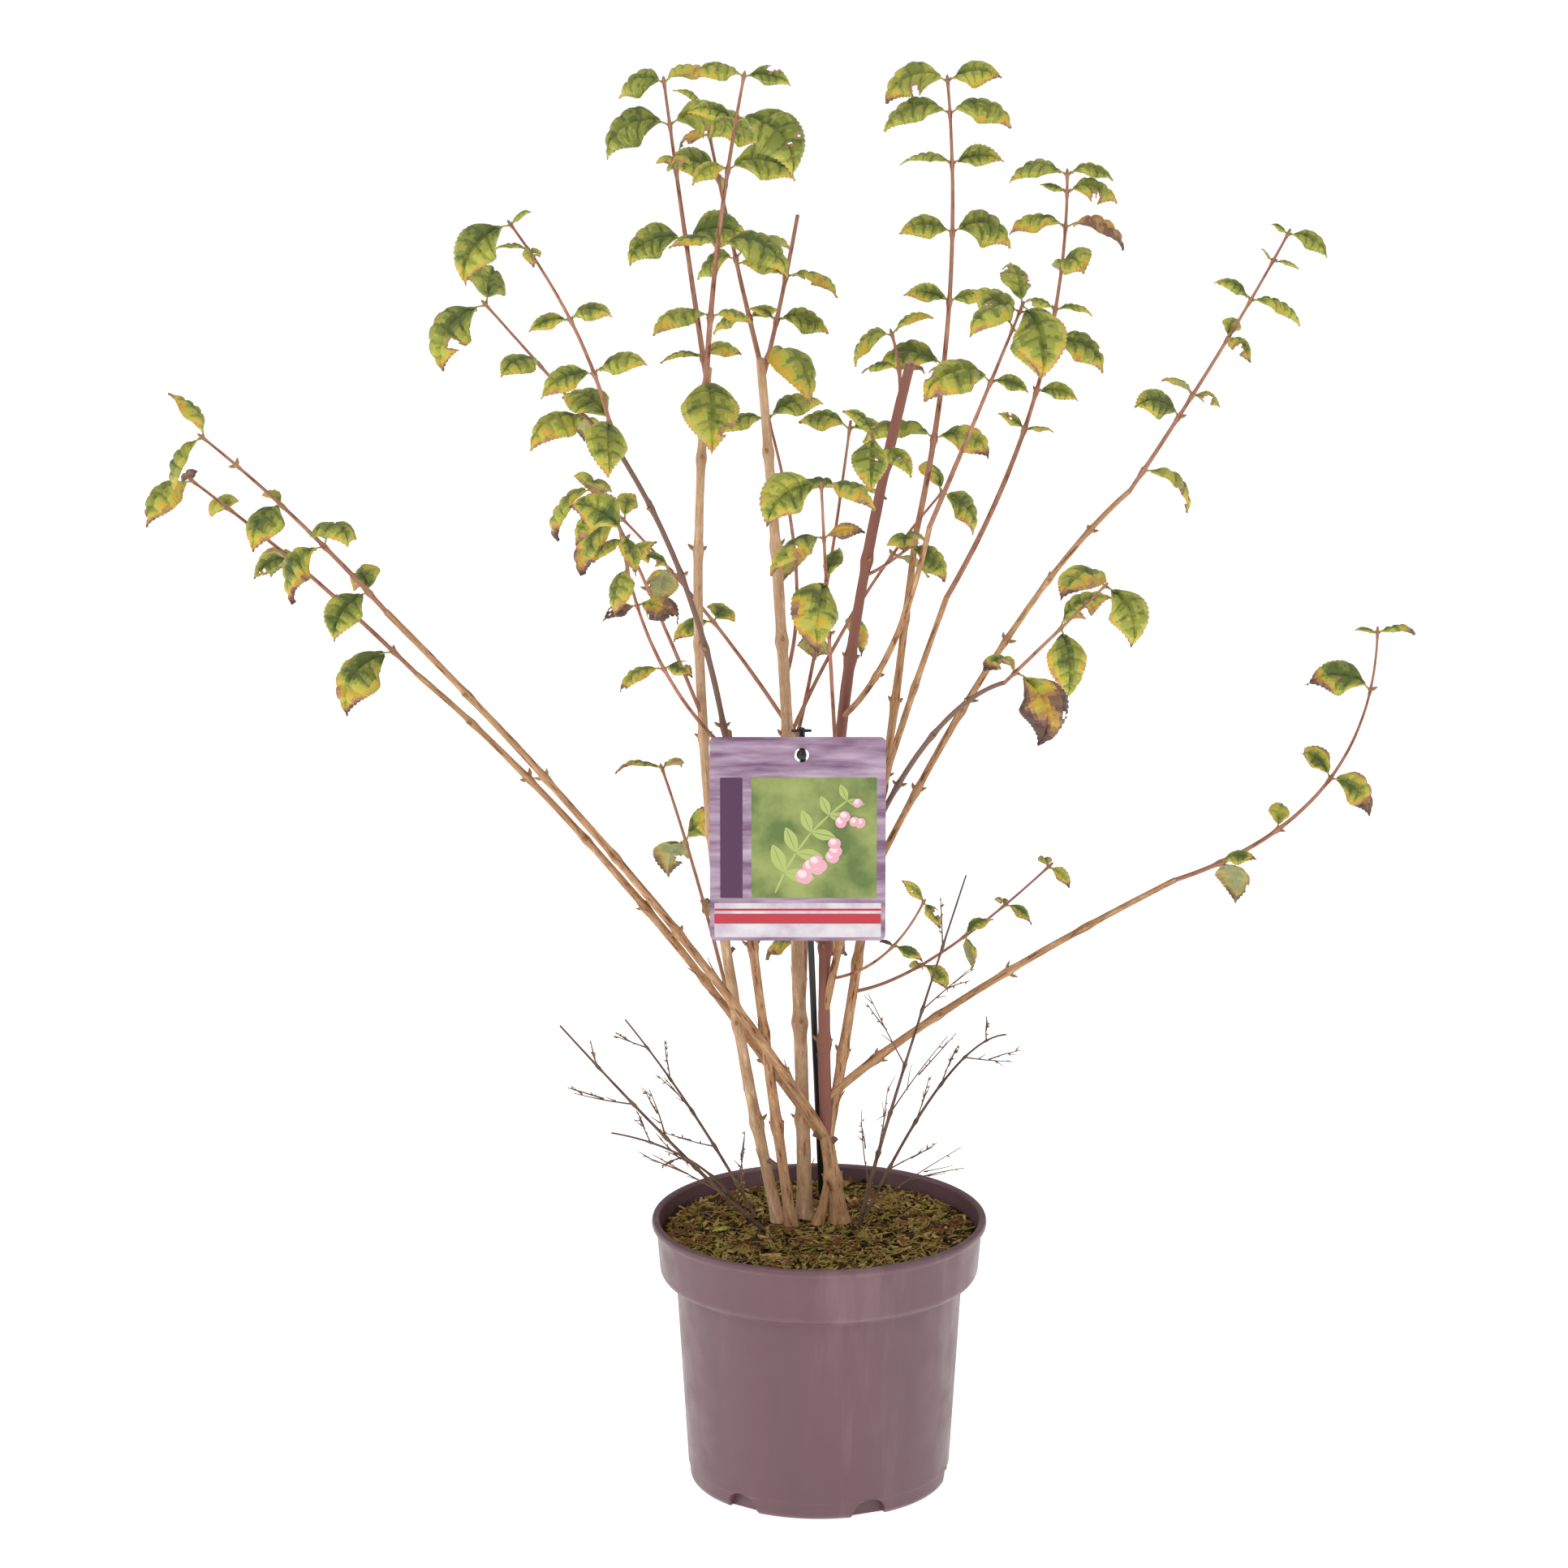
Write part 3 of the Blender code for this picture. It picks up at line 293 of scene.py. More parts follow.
class DeutziaLeafLooks(PropertyGroup):
    thickness: size("Thickness", "Thickness of a blade", 0.35)
    tooth: size("Tooth", "Depth of the teeth along the margin", 1.0)
    vein: size("Vein", "How far the blade swells between its veins", 1.7)
    stalk: colour("Stalk", "Yellow green leaf stalks", (0.4, 0.36, 0.09))
    leaf_deep: colour("Deep green", "Deep green of the older leaves", (0.12, 0.155, 0.028))
    leaf_green: colour("Green", "Mid green", (0.215, 0.25, 0.034))
    leaf_bright: colour("Bright green", "Yellow green", (0.35, 0.37, 0.055))
    leaf_lime: colour("Lime", "Lime turning yellow", (0.5, 0.5, 0.07))
    leaf_gold: colour("Gold", "Golden margins", (0.68, 0.45, 0.045))
    leaf_ochre: colour("Ochre", "Ochre between green and brown", (0.55, 0.32, 0.07))
    leaf_tan: colour("Tan", "Tan edge that has dried", (0.42, 0.235, 0.11))
    leaf_brown: colour("Brown", "Browned tip", (0.24, 0.12, 0.07))
    leaf_dark: colour("Dark brown", "Dead tip", (0.11, 0.055, 0.038))
    under_pale: colour("Underside", "Pale sage that every underside leans to", (0.5, 0.5, 0.27))


class DeutziaLabelLooks(PropertyGroup):
    mauve: colour("Mauve", "Ground of the card", (0.2, 0.095, 0.19))
    lilac: colour("Lilac", "Paler cloud in the ground", (0.56, 0.42, 0.55))
    panel: colour("Panel", "Green panel behind the sprig", (0.12, 0.19, 0.04))
    panel_light: colour("Panel light", "Light blur in the panel", (0.36, 0.42, 0.12))
    sprig: colour("Sprig", "Leaves of the drawn sprig", (0.46, 0.56, 0.16))
    pink: colour("Pink", "Round pink buds", (0.86, 0.44, 0.52))
    blush: colour("Blush", "Pale side of the buds", (0.95, 0.76, 0.8))
    plum: colour("Plum", "Plain upright stripe", (0.082, 0.018, 0.075))
    hem: colour("Hem", "Plain red band along the foot", (0.54, 0.03, 0.05))
    white: colour("White", "Plain white foot of the card", (0.8, 0.78, 0.8))
    stick: colour("Stick", "Black plastic", (0.012, 0.012, 0.014))


class DeutziaStageLooks(PropertyGroup):
    floor: colour("Floor", "Plain pale floor", (0.9, 0.895, 0.89))
    floor_radius: FloatProperty(name="Floor radius", description="Reach of the floor", unit="LENGTH",
                                default=9.0)
    glow: FloatProperty(name="Glow", description="Even light from the paper itself", default=0.86)
    key: FloatProperty(name="Key light", description="Power of the large front light", default=52.0,
                       unit="POWER")
    fill: FloatProperty(name="Fill light", description="Power of each side light", default=19.0,
                        unit="POWER")
    world: FloatProperty(name="Surround", description="Strength of the even white surround", default=0.27)
    camera_target: FloatVectorProperty(name="Target", description="Point that the camera looks at",
                                       subtype="TRANSLATION", default=(-0.0242, 0.0, 0.499))
    camera_distance: FloatProperty(name="Distance", description="From the camera to its target", unit="LENGTH",
                                   default=5.0)
    camera_height: FloatProperty(name="Elevation", description="How far the camera looks down",
                                 subtype="ANGLE", default=math.radians(15.7))
    camera_lens: FloatProperty(name="Lens", description="Focal length in millimetres", default=169.4)


def looks(group):
    """The user's values for one group of pieces."""
    return getattr(bpy.context.scene, "deutzia_" + group)


def opaque(rgb):
    """A colour with full cover."""
    return (rgb[0], rgb[1], rgb[2], 1.0)


def finish(name, base, roughness, specular=0.5):
    """A new finish, with the shader that the makers below wire up."""
    made = bpy.data.materials.get(name)
    if made is not None:
        return made, None, None
    made = bpy.data.materials.new(name)
    made.use_nodes = True
    tree = made.node_tree
    shader = tree.nodes["Principled BSDF"]
    shader.inputs["Base Color"].default_value = opaque(base)
    shader.inputs["Roughness"].default_value = roughness
    shader.inputs["Specular IOR Level"].default_value = specular
    return made, tree, shader


def place_on(tree, source, scale):
    """Coordinates for a pattern: the piece's own Object or UV ones, stretched by a scale."""
    coords = tree.nodes.new("ShaderNodeTexCoord")
    mapping = tree.nodes.new("ShaderNodeMapping")
    mapping.inputs["Scale"].default_value = scale
    tree.links.new(coords.outputs[source], mapping.inputs["Vector"])
    return mapping.outputs["Vector"]


def cloud(tree, where, scale, detail=3.0, roughness=0.55):
    """A noise over those coordinates."""
    pattern = tree.nodes.new("ShaderNodeTexNoise")
    pattern.inputs["Scale"].default_value = scale
    pattern.inputs["Detail"].default_value = detail
    pattern.inputs["Roughness"].default_value = roughness
    tree.links.new(where, pattern.inputs["Vector"])
    return pattern.outputs["Fac"]


def ramp(tree, value, stops):
    """Colours along a value."""
    made = tree.nodes.new("ShaderNodeValToRGB")
    while len(made.color_ramp.elements) < len(stops):
        made.color_ramp.elements.new(0.5)
    for element, (place, rgb) in zip(made.color_ramp.elements, stops):
        element.position = place
        element.color = opaque(rgb)
    tree.links.new(value, made.inputs["Fac"])
    return made.outputs["Color"]


def spread(tree, value, low, high):
    """A value drawn out between two ends."""
    made = tree.nodes.new("ShaderNodeMapRange")
    made.inputs["From Min"].default_value = 0.3
    made.inputs["From Max"].default_value = 0.7
    made.inputs["To Min"].default_value = low
    made.inputs["To Max"].default_value = high
    tree.links.new(value, made.inputs["Value"])
    return made.outputs["Result"]


def relief(tree, shader, value, depth, strength=1.0, over=None):
    """Fine bump, in metres of depth."""
    made = tree.nodes.new("ShaderNodeBump")
    made.inputs["Strength"].default_value = strength
    made.inputs["Distance"].default_value = depth
    tree.links.new(value, made.inputs["Height"])
    if over is not None:
        tree.links.new(over, made.inputs["Normal"])
    tree.links.new(made.outputs["Normal"], shader.inputs["Normal"])
    return made.outputs["Normal"]


def plastic_finish():
    """Soft moulded plastic, dulled by a little dust."""
    values = looks("pot")
    made, tree, shader = finish("pot_plastic", values.plastic, 0.38)
    if tree is None:
        return made
    where = place_on(tree, "Object", (1.0, 1.0, 1.0))
    tall = place_on(tree, "Object", (1.0, 1.0, 0.12))
    dull = cloud(tree, tall, 26.0, 5.0, 0.6)
    base = values.plastic
    shade = tuple(channel * 0.86 for channel in base)
    tree.links.new(ramp(tree, dull, ((0.25, shade), (0.55, base), (0.82, values.dust))),
                   shader.inputs["Base Color"])
    tree.links.new(spread(tree, cloud(tree, where, 60.0, 4.0), 0.32, 0.5), shader.inputs["Roughness"])
    grain = relief(tree, shader, cloud(tree, where, 1900.0, 2.0), 0.00004, 0.5)
    relief(tree, shader, cloud(tree, where, 9.0, 2.0), 0.0012, 0.25, over=grain)
    return made


def bark_finish(name, base, deep, pale_share=0.35, roughness=0.78):
    """Bark in long strips: streaks that follow the limb, fine cracks and a pale worn top."""
    made, tree, shader = finish(name, base, roughness, 0.25)
    if tree is None:
        return made
    strips = place_on(tree, "UV", (1.0, 1.0, 1.0))
    long_strips = cloud(tree, place_on(tree, "UV", (6.0, 34.0, 1.0)), 1.0, 5.0, 0.62)
    fine = cloud(tree, place_on(tree, "UV", (22.0, 160.0, 1.0)), 1.0, 4.0, 0.6)
    patches = cloud(tree, place_on(tree, "Object", (1.0, 1.0, 1.0)), 38.0, 3.0)
    pale = tuple(min(1.0, channel * 1.45 + 0.03) for channel in base)
    worn = 0.56 + pale_share * 0.3
    streaks = ramp(tree, long_strips, ((0.36, deep), (0.46, base), (0.56, base), (worn, pale)))
    mix = tree.nodes.new("ShaderNodeMix")
    mix.data_type = "RGBA"
    mix.blend_type = "MULTIPLY"
    mix.inputs["Factor"].default_value = 0.55
    tree.links.new(streaks, mix.inputs["A"])
    tree.links.new(ramp(tree, fine, ((0.3, (0.45, 0.4, 0.36)), (0.55, (1.0, 1.0, 1.0)))), mix.inputs["B"])
    second = tree.nodes.new("ShaderNodeMix")
    second.data_type = "RGBA"
    second.blend_type = "MULTIPLY"
    second.inputs["Factor"].default_value = 0.5
    tree.links.new(mix.outputs["Result"], second.inputs["A"])
    tree.links.new(ramp(tree, patches, ((0.35, (0.62, 0.52, 0.46)), (0.6, (1.0, 1.0, 1.0)))),
                   second.inputs["B"])
    tree.links.new(second.outputs["Result"], shader.inputs["Base Color"])
    rough = relief(tree, shader, long_strips, 0.0006, 0.8)
    relief(tree, shader, fine, 0.00025, 0.8, over=rough)
    tree.links.new(spread(tree, cloud(tree, strips, 40.0), 0.62, 0.9), shader.inputs["Roughness"])
    return made


def leaf_finish(name, base, under=False):
    """One plain leaf tint, with the fine net of veins as relief and a soft sheen."""
    made, tree, shader = finish(name, base, 0.52 if not under else 0.75, 0.4 if not under else 0.2)
    if tree is None:
        return made
    where = place_on(tree, "Object", (1.0, 1.0, 1.0))
    net = tree.nodes.new("ShaderNodeTexVoronoi")
    net.feature = "DISTANCE_TO_EDGE"
    net.inputs["Scale"].default_value = 620.0
    tree.links.new(where, net.inputs["Vector"])
    coarse = relief(tree, shader, net.outputs["Distance"], 0.00035 if not under else 0.0005, 0.7)
    relief(tree, shader, cloud(tree, where, 900.0, 3.0), 0.00012, 0.6, over=coarse)
    shader.inputs["Sheen Weight"].default_value = 0.12 if not under else 0.3
    shader.inputs["Sheen Roughness"].default_value = 0.5
    return made


def crumb_finish(name, base):
    """A dry crumbly finish for mulch, chips and moss."""
    made, tree, shader = finish(name, base, 0.92, 0.12)
    if tree is None:
        return made
    where = place_on(tree, "Object", (1.0, 1.0, 1.0))
    grain = cloud(tree, where, 420.0, 5.0, 0.65)
    dark = tuple(channel * 0.5 for channel in base)
    light = tuple(min(1.0, channel * 1.35) for channel in base)
    tree.links.new(ramp(tree, grain, ((0.32, dark), (0.52, base), (0.72, light))), shader.inputs["Base Color"])
    relief(tree, shader, grain, 0.0008, 0.9)
    return made


def print_finish(name, base, second=None, scale=30.0, stretch=(1.0, 1.0, 1.0)):
    """Printed card stock: smooth, with a faint grain, and a blur of a second colour where one is given."""
    made, tree, shader = finish(name, base, 0.36)
    if tree is None:
        return made
    where = place_on(tree, "Object", stretch)
    if second is not None:
        tree.links.new(ramp(tree, cloud(tree, where, scale, 4.0), ((0.38, base), (0.66, second))),
                       shader.inputs["Base Color"])
    relief(tree, shader, cloud(tree, where, 1500.0, 2.0), 0.00002, 0.4)
    return made


def mesh_piece(name, bm, finishes, replaced=(), smooth=True):
    """Finish a bmesh in millimetres as a piece in metres that rides with the plant."""
    bmesh.ops.scale(bm, vec=(MM, MM, MM), verts=bm.verts)
    mesh = bpy.data.meshes.new(name)
    bm.to_mesh(mesh)
    bm.free()
    if smooth:
        mesh.shade_smooth()
        mesh.set_sharp_from_angle(angle=SMOOTH_ANGLE)
    for made in finishes:
        mesh.materials.append(made)
    piece = bpy.data.objects.new(name, mesh)
    bpy.context.scene.collection.objects.link(piece)
    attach(piece, ROOT)
    if replaced:
        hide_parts(*replaced)
    return piece


def add_to(whole, part):
    """Append a finished bmesh to a larger one and free it."""
    held = bpy.data.meshes.new("held")
    part.to_mesh(held)
    part.free()
    whole.from_mesh(held)
    bpy.data.meshes.remove(held)


def new_bmesh():
    """A bmesh with the UV map that every piece keeps."""
    bm = bmesh.new()
    bm.loops.layers.uv.new("UVMap")
    return bm


def cut_from(piece, cutters):
    """Cut helper shapes out of a piece and remove them."""
    parts = bpy.data.collections.new(piece.name + "_cutters")
    for cutter in cutters:
        bpy.context.scene.collection.objects.unlink(cutter)
        parts.objects.link(cutter)
    boolean = piece.modifiers.new("Cut", "BOOLEAN")
    boolean.operation = "DIFFERENCE"
    boolean.operand_type = "COLLECTION"
    boolean.collection = parts
    graph = bpy.context.evaluated_depsgraph_get()
    mesh = bpy.data.meshes.new_from_object(piece.evaluated_get(graph))
    piece.modifiers.clear()
    piece.data = mesh
    mesh.set_sharp_from_angle(angle=SMOOTH_ANGLE)
    for cutter in cutters:
        bpy.data.objects.remove(cutter)
    bpy.data.collections.remove(parts)


def helper_object(name, bm):
    """A shape that only cuts others."""
    bmesh.ops.recalc_face_normals(bm, faces=bm.faces)
    bmesh.ops.scale(bm, vec=(MM, MM, MM), verts=bm.verts)
    mesh = bpy.data.meshes.new(name)
    bm.to_mesh(mesh)
    bm.free()
    made = bpy.data.objects.new(name, mesh)
    bpy.context.scene.collection.objects.link(made)
    return made


def softened(outline, radius, steps=4):
    """Round the corners of a half section by short arcs."""
    points = [Vector(point) for point in outline]
    soft = [points[0]]
    for before, corner, after in zip(points, points[1:], points[2:]):
        back = (before - corner)
        ahead = (after - corner)
        reach = min(radius, back.length * 0.45, ahead.length * 0.45)
        start = corner + back.normalized() * reach
        end = corner + ahead.normalized() * reach
        for step in range(steps + 1):
            share = step / steps
            soft.append(start.lerp(corner, share).lerp(corner.lerp(end, share), share))
    soft.append(points[-1])
    return soft


def turned(outline, steps):
    """Spin half a section about the upright axis."""
    bm = new_bmesh()
    verts = [bm.verts.new((point[0], 0.0, point[1])) for point in outline]
    edges = [bm.edges.new(pair) for pair in zip(verts, verts[1:])]
    bmesh.ops.spin(bm, geom=verts + edges, axis=(0, 0, 1), cent=(0, 0, 0), steps=steps, angle=math.tau,
                   use_merge=True, use_duplicate=False)
    bmesh.ops.remove_doubles(bm, verts=bm.verts, dist=0.001)
    bmesh.ops.recalc_face_normals(bm, faces=bm.faces)
    return bm


def pot_outline():
    """Half the pot's section, from the middle of its floor out, over the lip and back in."""
    collar = POT_COLLAR_BASE
    lip = POT_RIM_RADIUS
    body_top = lip - 17.0
    collar_low = lip - 6.0
    foot = POT_FOOT_RADIUS
    return (
        (0.0, 0.0), (foot, 0.0), (foot + 3.0, 3.0), (foot + 3.6, 12.0), (foot + 4.4, 12.8),
        (body_top, collar - 3.0), (collar_low - 2.5, collar), (collar_low, collar + 3.5),
        (lip - 3.4, POT_HEIGHT - 6.5), (lip - 0.6, POT_HEIGHT - 5.5), (lip, POT_HEIGHT - 3.0),
        (lip - 0.8, POT_HEIGHT - 0.6), (lip - 2.0, POT_HEIGHT), (lip - 4.4, POT_HEIGHT),
        (lip - 5.6, POT_HEIGHT - 1.5), (collar_low - POT_WALL, collar + 5.0),
        (body_top - POT_WALL, collar - 1.0), (foot + 1.4, POT_FLOOR), (0.0, POT_FLOOR),
    )


def make_pot():
    """The moulded pot: rounded lip, plain collar, tapering wall, foot ring and arched notches."""
    pot = mesh_piece("pot_shell", turned(softened(pot_outline(), 2.2), looks("pot").steps),
                     [plastic_finish()], ("pot",))
    cutters = []
    for index in range(NOTCH_COUNT):
        angle = math.tau * (index + 0.5) / NOTCH_COUNT + NOTCH_TURN
        bm = bmesh.new()
        bmesh.ops.create_cone(bm, cap_ends=True, segments=40, radius1=1.0, radius2=1.0, depth=1.0)
        place = (Matrix.Rotation(angle, 4, "Z") @ Matrix.Translation((POT_FOOT_RADIUS + 3.6, 0, 0))
                 @ Matrix.Rotation(math.pi / 2, 4, "Y") @ Matrix.Diagonal((*NOTCH_SIZE, 1.0)))
        bmesh.ops.transform(bm, matrix=place, verts=bm.verts)
        cutters.append(helper_object(f"notch_{index}", bm))
    cut_from(pot, cutters)
    return pot


def soil_height(x, y):
    """The top of the potting mulch: a low mound with lumps."""
    out = math.hypot(x, y) / SOIL_RADIUS
    lump = noise.noise(Vector((x, y, 3.0)) / 17.0) * 2.0 + noise.noise(Vector((x, y, 9.0)) / 5.0) * 0.9
    return SOIL_TOP - SOIL_FALL * out ** 2.6 - 1.6 + lump * min(1.0, 4.0 * (1.02 - out))


def make_soil():
    """The body of the mulch, closed below, with a lumpy top."""
    collar = POT_COLLAR_BASE
    lip = POT_RIM_RADIUS
    wall = POT_WALL + 0.5
    rings = 44
    outline = [(0.0, POT_FLOOR + 0.5), (POT_FOOT_RADIUS + 0.7, POT_FLOOR + 0.5),
               (lip - 17.0 - wall, collar - 0.5), (lip - 6.0 - wall, collar + 5.6)]
    outline += [(SOIL_RADIUS * (rings - ring) / rings, SOIL_TOP) for ring in range(rings + 1)]
    bm = turned(outline, 120)
    for vert in bm.verts:
        if vert.co.z > SOIL_TOP - 0.01:
            vert.co.z = soil_height(vert.co.x, vert.co.y)
    return mesh_piece("soil_mound", bm, [crumb_finish("soil_ground", looks("soil").ground)], ("soil",))


def scatter_point(rng, reach):
    """A point on the mulch, anywhere within a radius."""
    out = reach * math.sqrt(rng.random())
    turn = rng.uniform(0, math.tau)
    return out * math.cos(turn), out * math.sin(turn)


def make_mulch():
    """Thousands of flakes, chips and moss crumbs that lie crossed on the mound."""
    values = looks("soil")
    names = ("olive", "straw", "chip", "char", "moss")
    shares = (0.4, 0.2, 0.2, 0.12, 0.08)
    rng = random.Random(11)
    bm = new_bmesh()
    usual = values.flake_length / MM
    for _ in range(values.flakes):
        kind = rng.choices(range(len(names)), shares)[0]
        long = usual * rng.lognormvariate(-0.15, 0.42)
        wide = long * rng.uniform(0.16, 0.42)
        if kind in (2, 3):
            wide = long * rng.uniform(0.35, 0.6)
        if kind == 4:
            long *= 0.6
            wide = long * 0.6
        long = min(long, 15.0)
        x, y = scatter_point(rng, SOIL_RADIUS - 2.5 - long * 0.3)
        lift = rng.uniform(-0.3, 1.7)
        place = (Matrix.Translation((x, y, soil_height(x, y) + lift))
                 @ Matrix.Rotation(rng.uniform(0, math.tau), 4, "Z")
                 @ Matrix.Rotation(rng.gauss(0, 0.3), 4, "Y") @ Matrix.Rotation(rng.gauss(0, 0.45), 4, "X")
                 @ Matrix.Diagonal((long, wide, rng.uniform(0.4, 1.0), 1.0)))
        made = bmesh.ops.create_cube(bm, size=1.0, matrix=place)
        ends = rng.uniform(0.2, 0.9)
        middle = place.translation
        for vert in made["verts"]:
            vert.co = middle + (vert.co - middle) * rng.uniform(ends, 1.1)
        for face in {face for vert in made["verts"] for face in vert.link_faces}:
            face.material_index = kind
    finishes = [crumb_finish("mulch_" + name, getattr(values, name)) for name in names]
    return mesh_piece("mulch_flakes", bm, finishes, smooth=False)


def make_fibres():
    """Long thin fibres that bow over the flakes."""
    values = looks("soil")
    rng = random.Random(12)
    bm = new_bmesh()
    for _ in range(values.fibres):
        long = rng.uniform(9, 24)
        x, y = scatter_point(rng, SOIL_RADIUS - 4 - long / 2)
        turn = rng.uniform(0, math.tau)
        ahead = Vector((math.cos(turn), math.sin(turn), 0))
        aside = Vector((-ahead.y, ahead.x, 0)) * rng.uniform(-3.5, 3.5)
        centres = []
        for step in range(7):
            share = step / 6
            flat = Vector((x, y, 0)) + ahead * long * (share - 0.5) + aside * 4 * share * (1 - share)
            flat.z = soil_height(flat.x, flat.y) + 1.2 + 2.2 * math.sin(math.pi * share) * rng.uniform(0.4, 1)
            centres.append(flat)
        thick = rng.uniform(0.18, 0.4)
        add_to(bm, tube(centres, [thick] * 7, 4, material=rng.choice((0, 0, 1, 2))))
    finishes = [crumb_finish("mulch_" + name, getattr(values, name)) for name in ("straw", "olive", "chip")]
    return mesh_piece("mulch_fibres", bm, finishes)


def tube(centres, radii, sides, material=0, shape=None, upright_start=False, tip=0.35):
    """A closed round limb along a path: a grid wrapped round it, with its UV map running along it.

    The shape gives a share of the radius from the turn and the place along the path.
    """
    bm = new_bmesh()
    rows = len(centres) - 1
    made = bmesh.ops.create_grid(bm, x_segments=rows, y_segments=sides, size=1.0, calc_uvs=True)
    frames = []
    tangent = Vector((0, 0, 1)) if upright_start else (centres[1] - centres[0]).normalized()
    turn = Vector((0, 0, 1)).rotation_difference(tangent)
    for index in range(rows + 1):
        if index or not upright_start:
            before = centres[max(index - 1, 0)]
            after = centres[min(index + 1, rows)]
            ahead = (after - before).normalized()
            turn = tangent.rotation_difference(ahead) @ turn
            tangent = ahead
        frames.append((turn @ Vector((1, 0, 0)), turn @ Vector((0, 1, 0)), tangent.copy()))
    lengths = [0.0]
    for before, after in zip(centres, centres[1:]):
        lengths.append(lengths[-1] + (after - before).length)
    uv = bm.loops.layers.uv["UVMap"]
    for face in bm.faces:
        face.material_index = material
        for loop in face.loops:
            u = (loop.vert.co.y + 1) / 2
            row = round((loop.vert.co.x + 1) / 2 * rows)
            loop[uv].uv = (lengths[row] * 0.01, u * radii[0] * 0.06)
    rims = ([], [])
    for vert in made["verts"]:
        row = round((vert.co.x + 1) / 2 * rows)
        angle = math.tau * (vert.co.y + 1) / 2
        right, back, ahead = frames[row]
        radius = radii[row]
        out = right * math.cos(angle) + back * math.sin(angle)
        if shape is not None:
            radius *= shape(out, centres[row], row / rows)
        vert.co = centres[row] + out * radius
        if row in (0, rows):
            rims[row > 0].append(vert)
    bmesh.ops.remove_doubles(bm, verts=bm.verts, dist=0.0005)
    for end, sign in ((0, -1), (rows, 1)):
        rim = [edge for edge in bm.edges if edge.is_boundary
               and (edge.verts[0].co - centres[end]).length < radii[end] * 2.5
               and (edge.verts[1].co - centres[end]).length < radii[end] * 2.5]
        if not rim:
            continue
        made = bmesh.ops.extrude_edge_only(bm, edges=rim)
        moved = [item for item in made["geom"] if isinstance(item, bmesh.types.BMVert)]
        for vert in moved:
            vert.co = centres[end] + (vert.co - centres[end]) * 0.55 + frames[end][2] * sign * radii[end] * tip
        inner = [item for item in made["geom"] if isinstance(item, bmesh.types.BMEdge)]
        bmesh.ops.edgeloop_fill(bm, edges=inner)
    for face in bm.faces:
        face.material_index = material
    bmesh.ops.recalc_face_normals(bm, faces=bm.faces)
    return bm


def path_point(start, end, bow, share):
    """A point on the bowed line from start to end."""
    return start.lerp(end, share) + bow * (4.0 * share * (1.0 - share))


def even_nodes(plan, start):
    """Shares of a bare limb's length where its nodes come."""
    count = max(1, round((Vector(plan.end) - start).length / NODE_SPACING))
    return [index / (count + 1) for index in range(1, count + 1)]


def stem_axes(direction):
    """Directions square to a stem: one to the right, one to the back."""
    right = Vector((1, 0, 0))
    right = (right - direction * right.dot(direction)).normalized()
    return right, direction.cross(right)


class Growth:
    """The paths of the limbs, and the solids that the dressed pieces keep to."""

    def __init__(self):
        self.paths = {}
        for plan in (*LIMBS, *SHOOTS, *SPRAYS):
            self.paths[plan.name] = (self.start_of(plan), Vector(plan.end), Vector(plan.bow))
        self.trees = {}

    def start_of(self, plan):
        """Where a limb starts: on the mulch or on the limb that it grows from."""
        if isinstance(plan.start[0], str):
            parent, share = plan.start
            return path_point(*self.paths[parent], share)
        return Vector((*plan.start, SOIL_TOP + GAP))

    def tree(self, name):
        """The solid's faces, for asking how near a point is."""
        if name not in self.trees:
            bm = bmesh.new()
            bm.from_mesh(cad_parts[name].data)
            bmesh.ops.scale(bm, vec=(1 / MM, 1 / MM, 1 / MM), verts=bm.verts)
            self.trees[name] = BVHTree.FromBMesh(bm)
            bm.free()
        return self.trees[name]

    def grown(self, name, point):
        """Whether the solid has a twig or leaf here, so that none is added where it has none."""
        return self.tree(name).find_nearest(point)[3] < GROWN_WITHIN


def node_swelling(share, nodes, length, size, reach=5.0):
    """How much a stem swells near its nodes."""
    return sum(size * math.exp(-((share - node) * length / reach) ** 2) for node in nodes)


def bark_shape(seed, depth, radius, foot):
    """Ridges and flat peeled strips that run along a limb, and a flare at a rooted foot."""
    shift = Vector((seed * 3.7, seed * 1.3, seed * 2.1))

    def shape(out, centre, share):
        across = out * radius * 0.9
        strip = noise.noise(Vector((across.x, across.y, across.z * 0.5)) * 0.55 + centre * 0.022 + shift)
        crack = noise.ridged_multi_fractal(across * 0.8 + centre * 0.05 + shift, 0.9, 2.1, 3, 1.0, 2.0)
        wobble = noise.noise(out * 0.9 + centre * 0.014 + shift)
        flare = 0.0
        if foot is not None:
            flare = 0.42 * math.exp(-(centre - foot).length / 9.0)
        return 1.0 + flare + wobble * 0.1 + (strip - 0.35 * (crack - 1.0)) * depth / radius

    return shape


def bark_finishes():
    """Every bark of the plant, by the name of its tint."""
    values = looks("bark")
    deep = tuple(values.tan_deep)
    return {
        "bark": bark_finish("bark_tan", values.tan, deep),
        "light": bark_finish("bark_straw", values.light, tuple(values.tan)),
        "red": bark_finish("bark_red", values.red, (0.07, 0.02, 0.015), 0.6),
        "dark": bark_finish("bark_dark", values.dark, (0.05, 0.025, 0.02), 0.6),
        "twig": bark_finish("twig_young", values.twig, tuple(values.red), 0.5),
        "dry": bark_finish("twig_dry", values.dry, (0.07, 0.04, 0.03), 0.5),
        "bud": bark_finish("bud_scales", values.bud, tuple(values.tan_deep), 0.7),
        "wound": bark_finish("bare_wood", values.wound, tuple(values.tan), 0.6),
    }


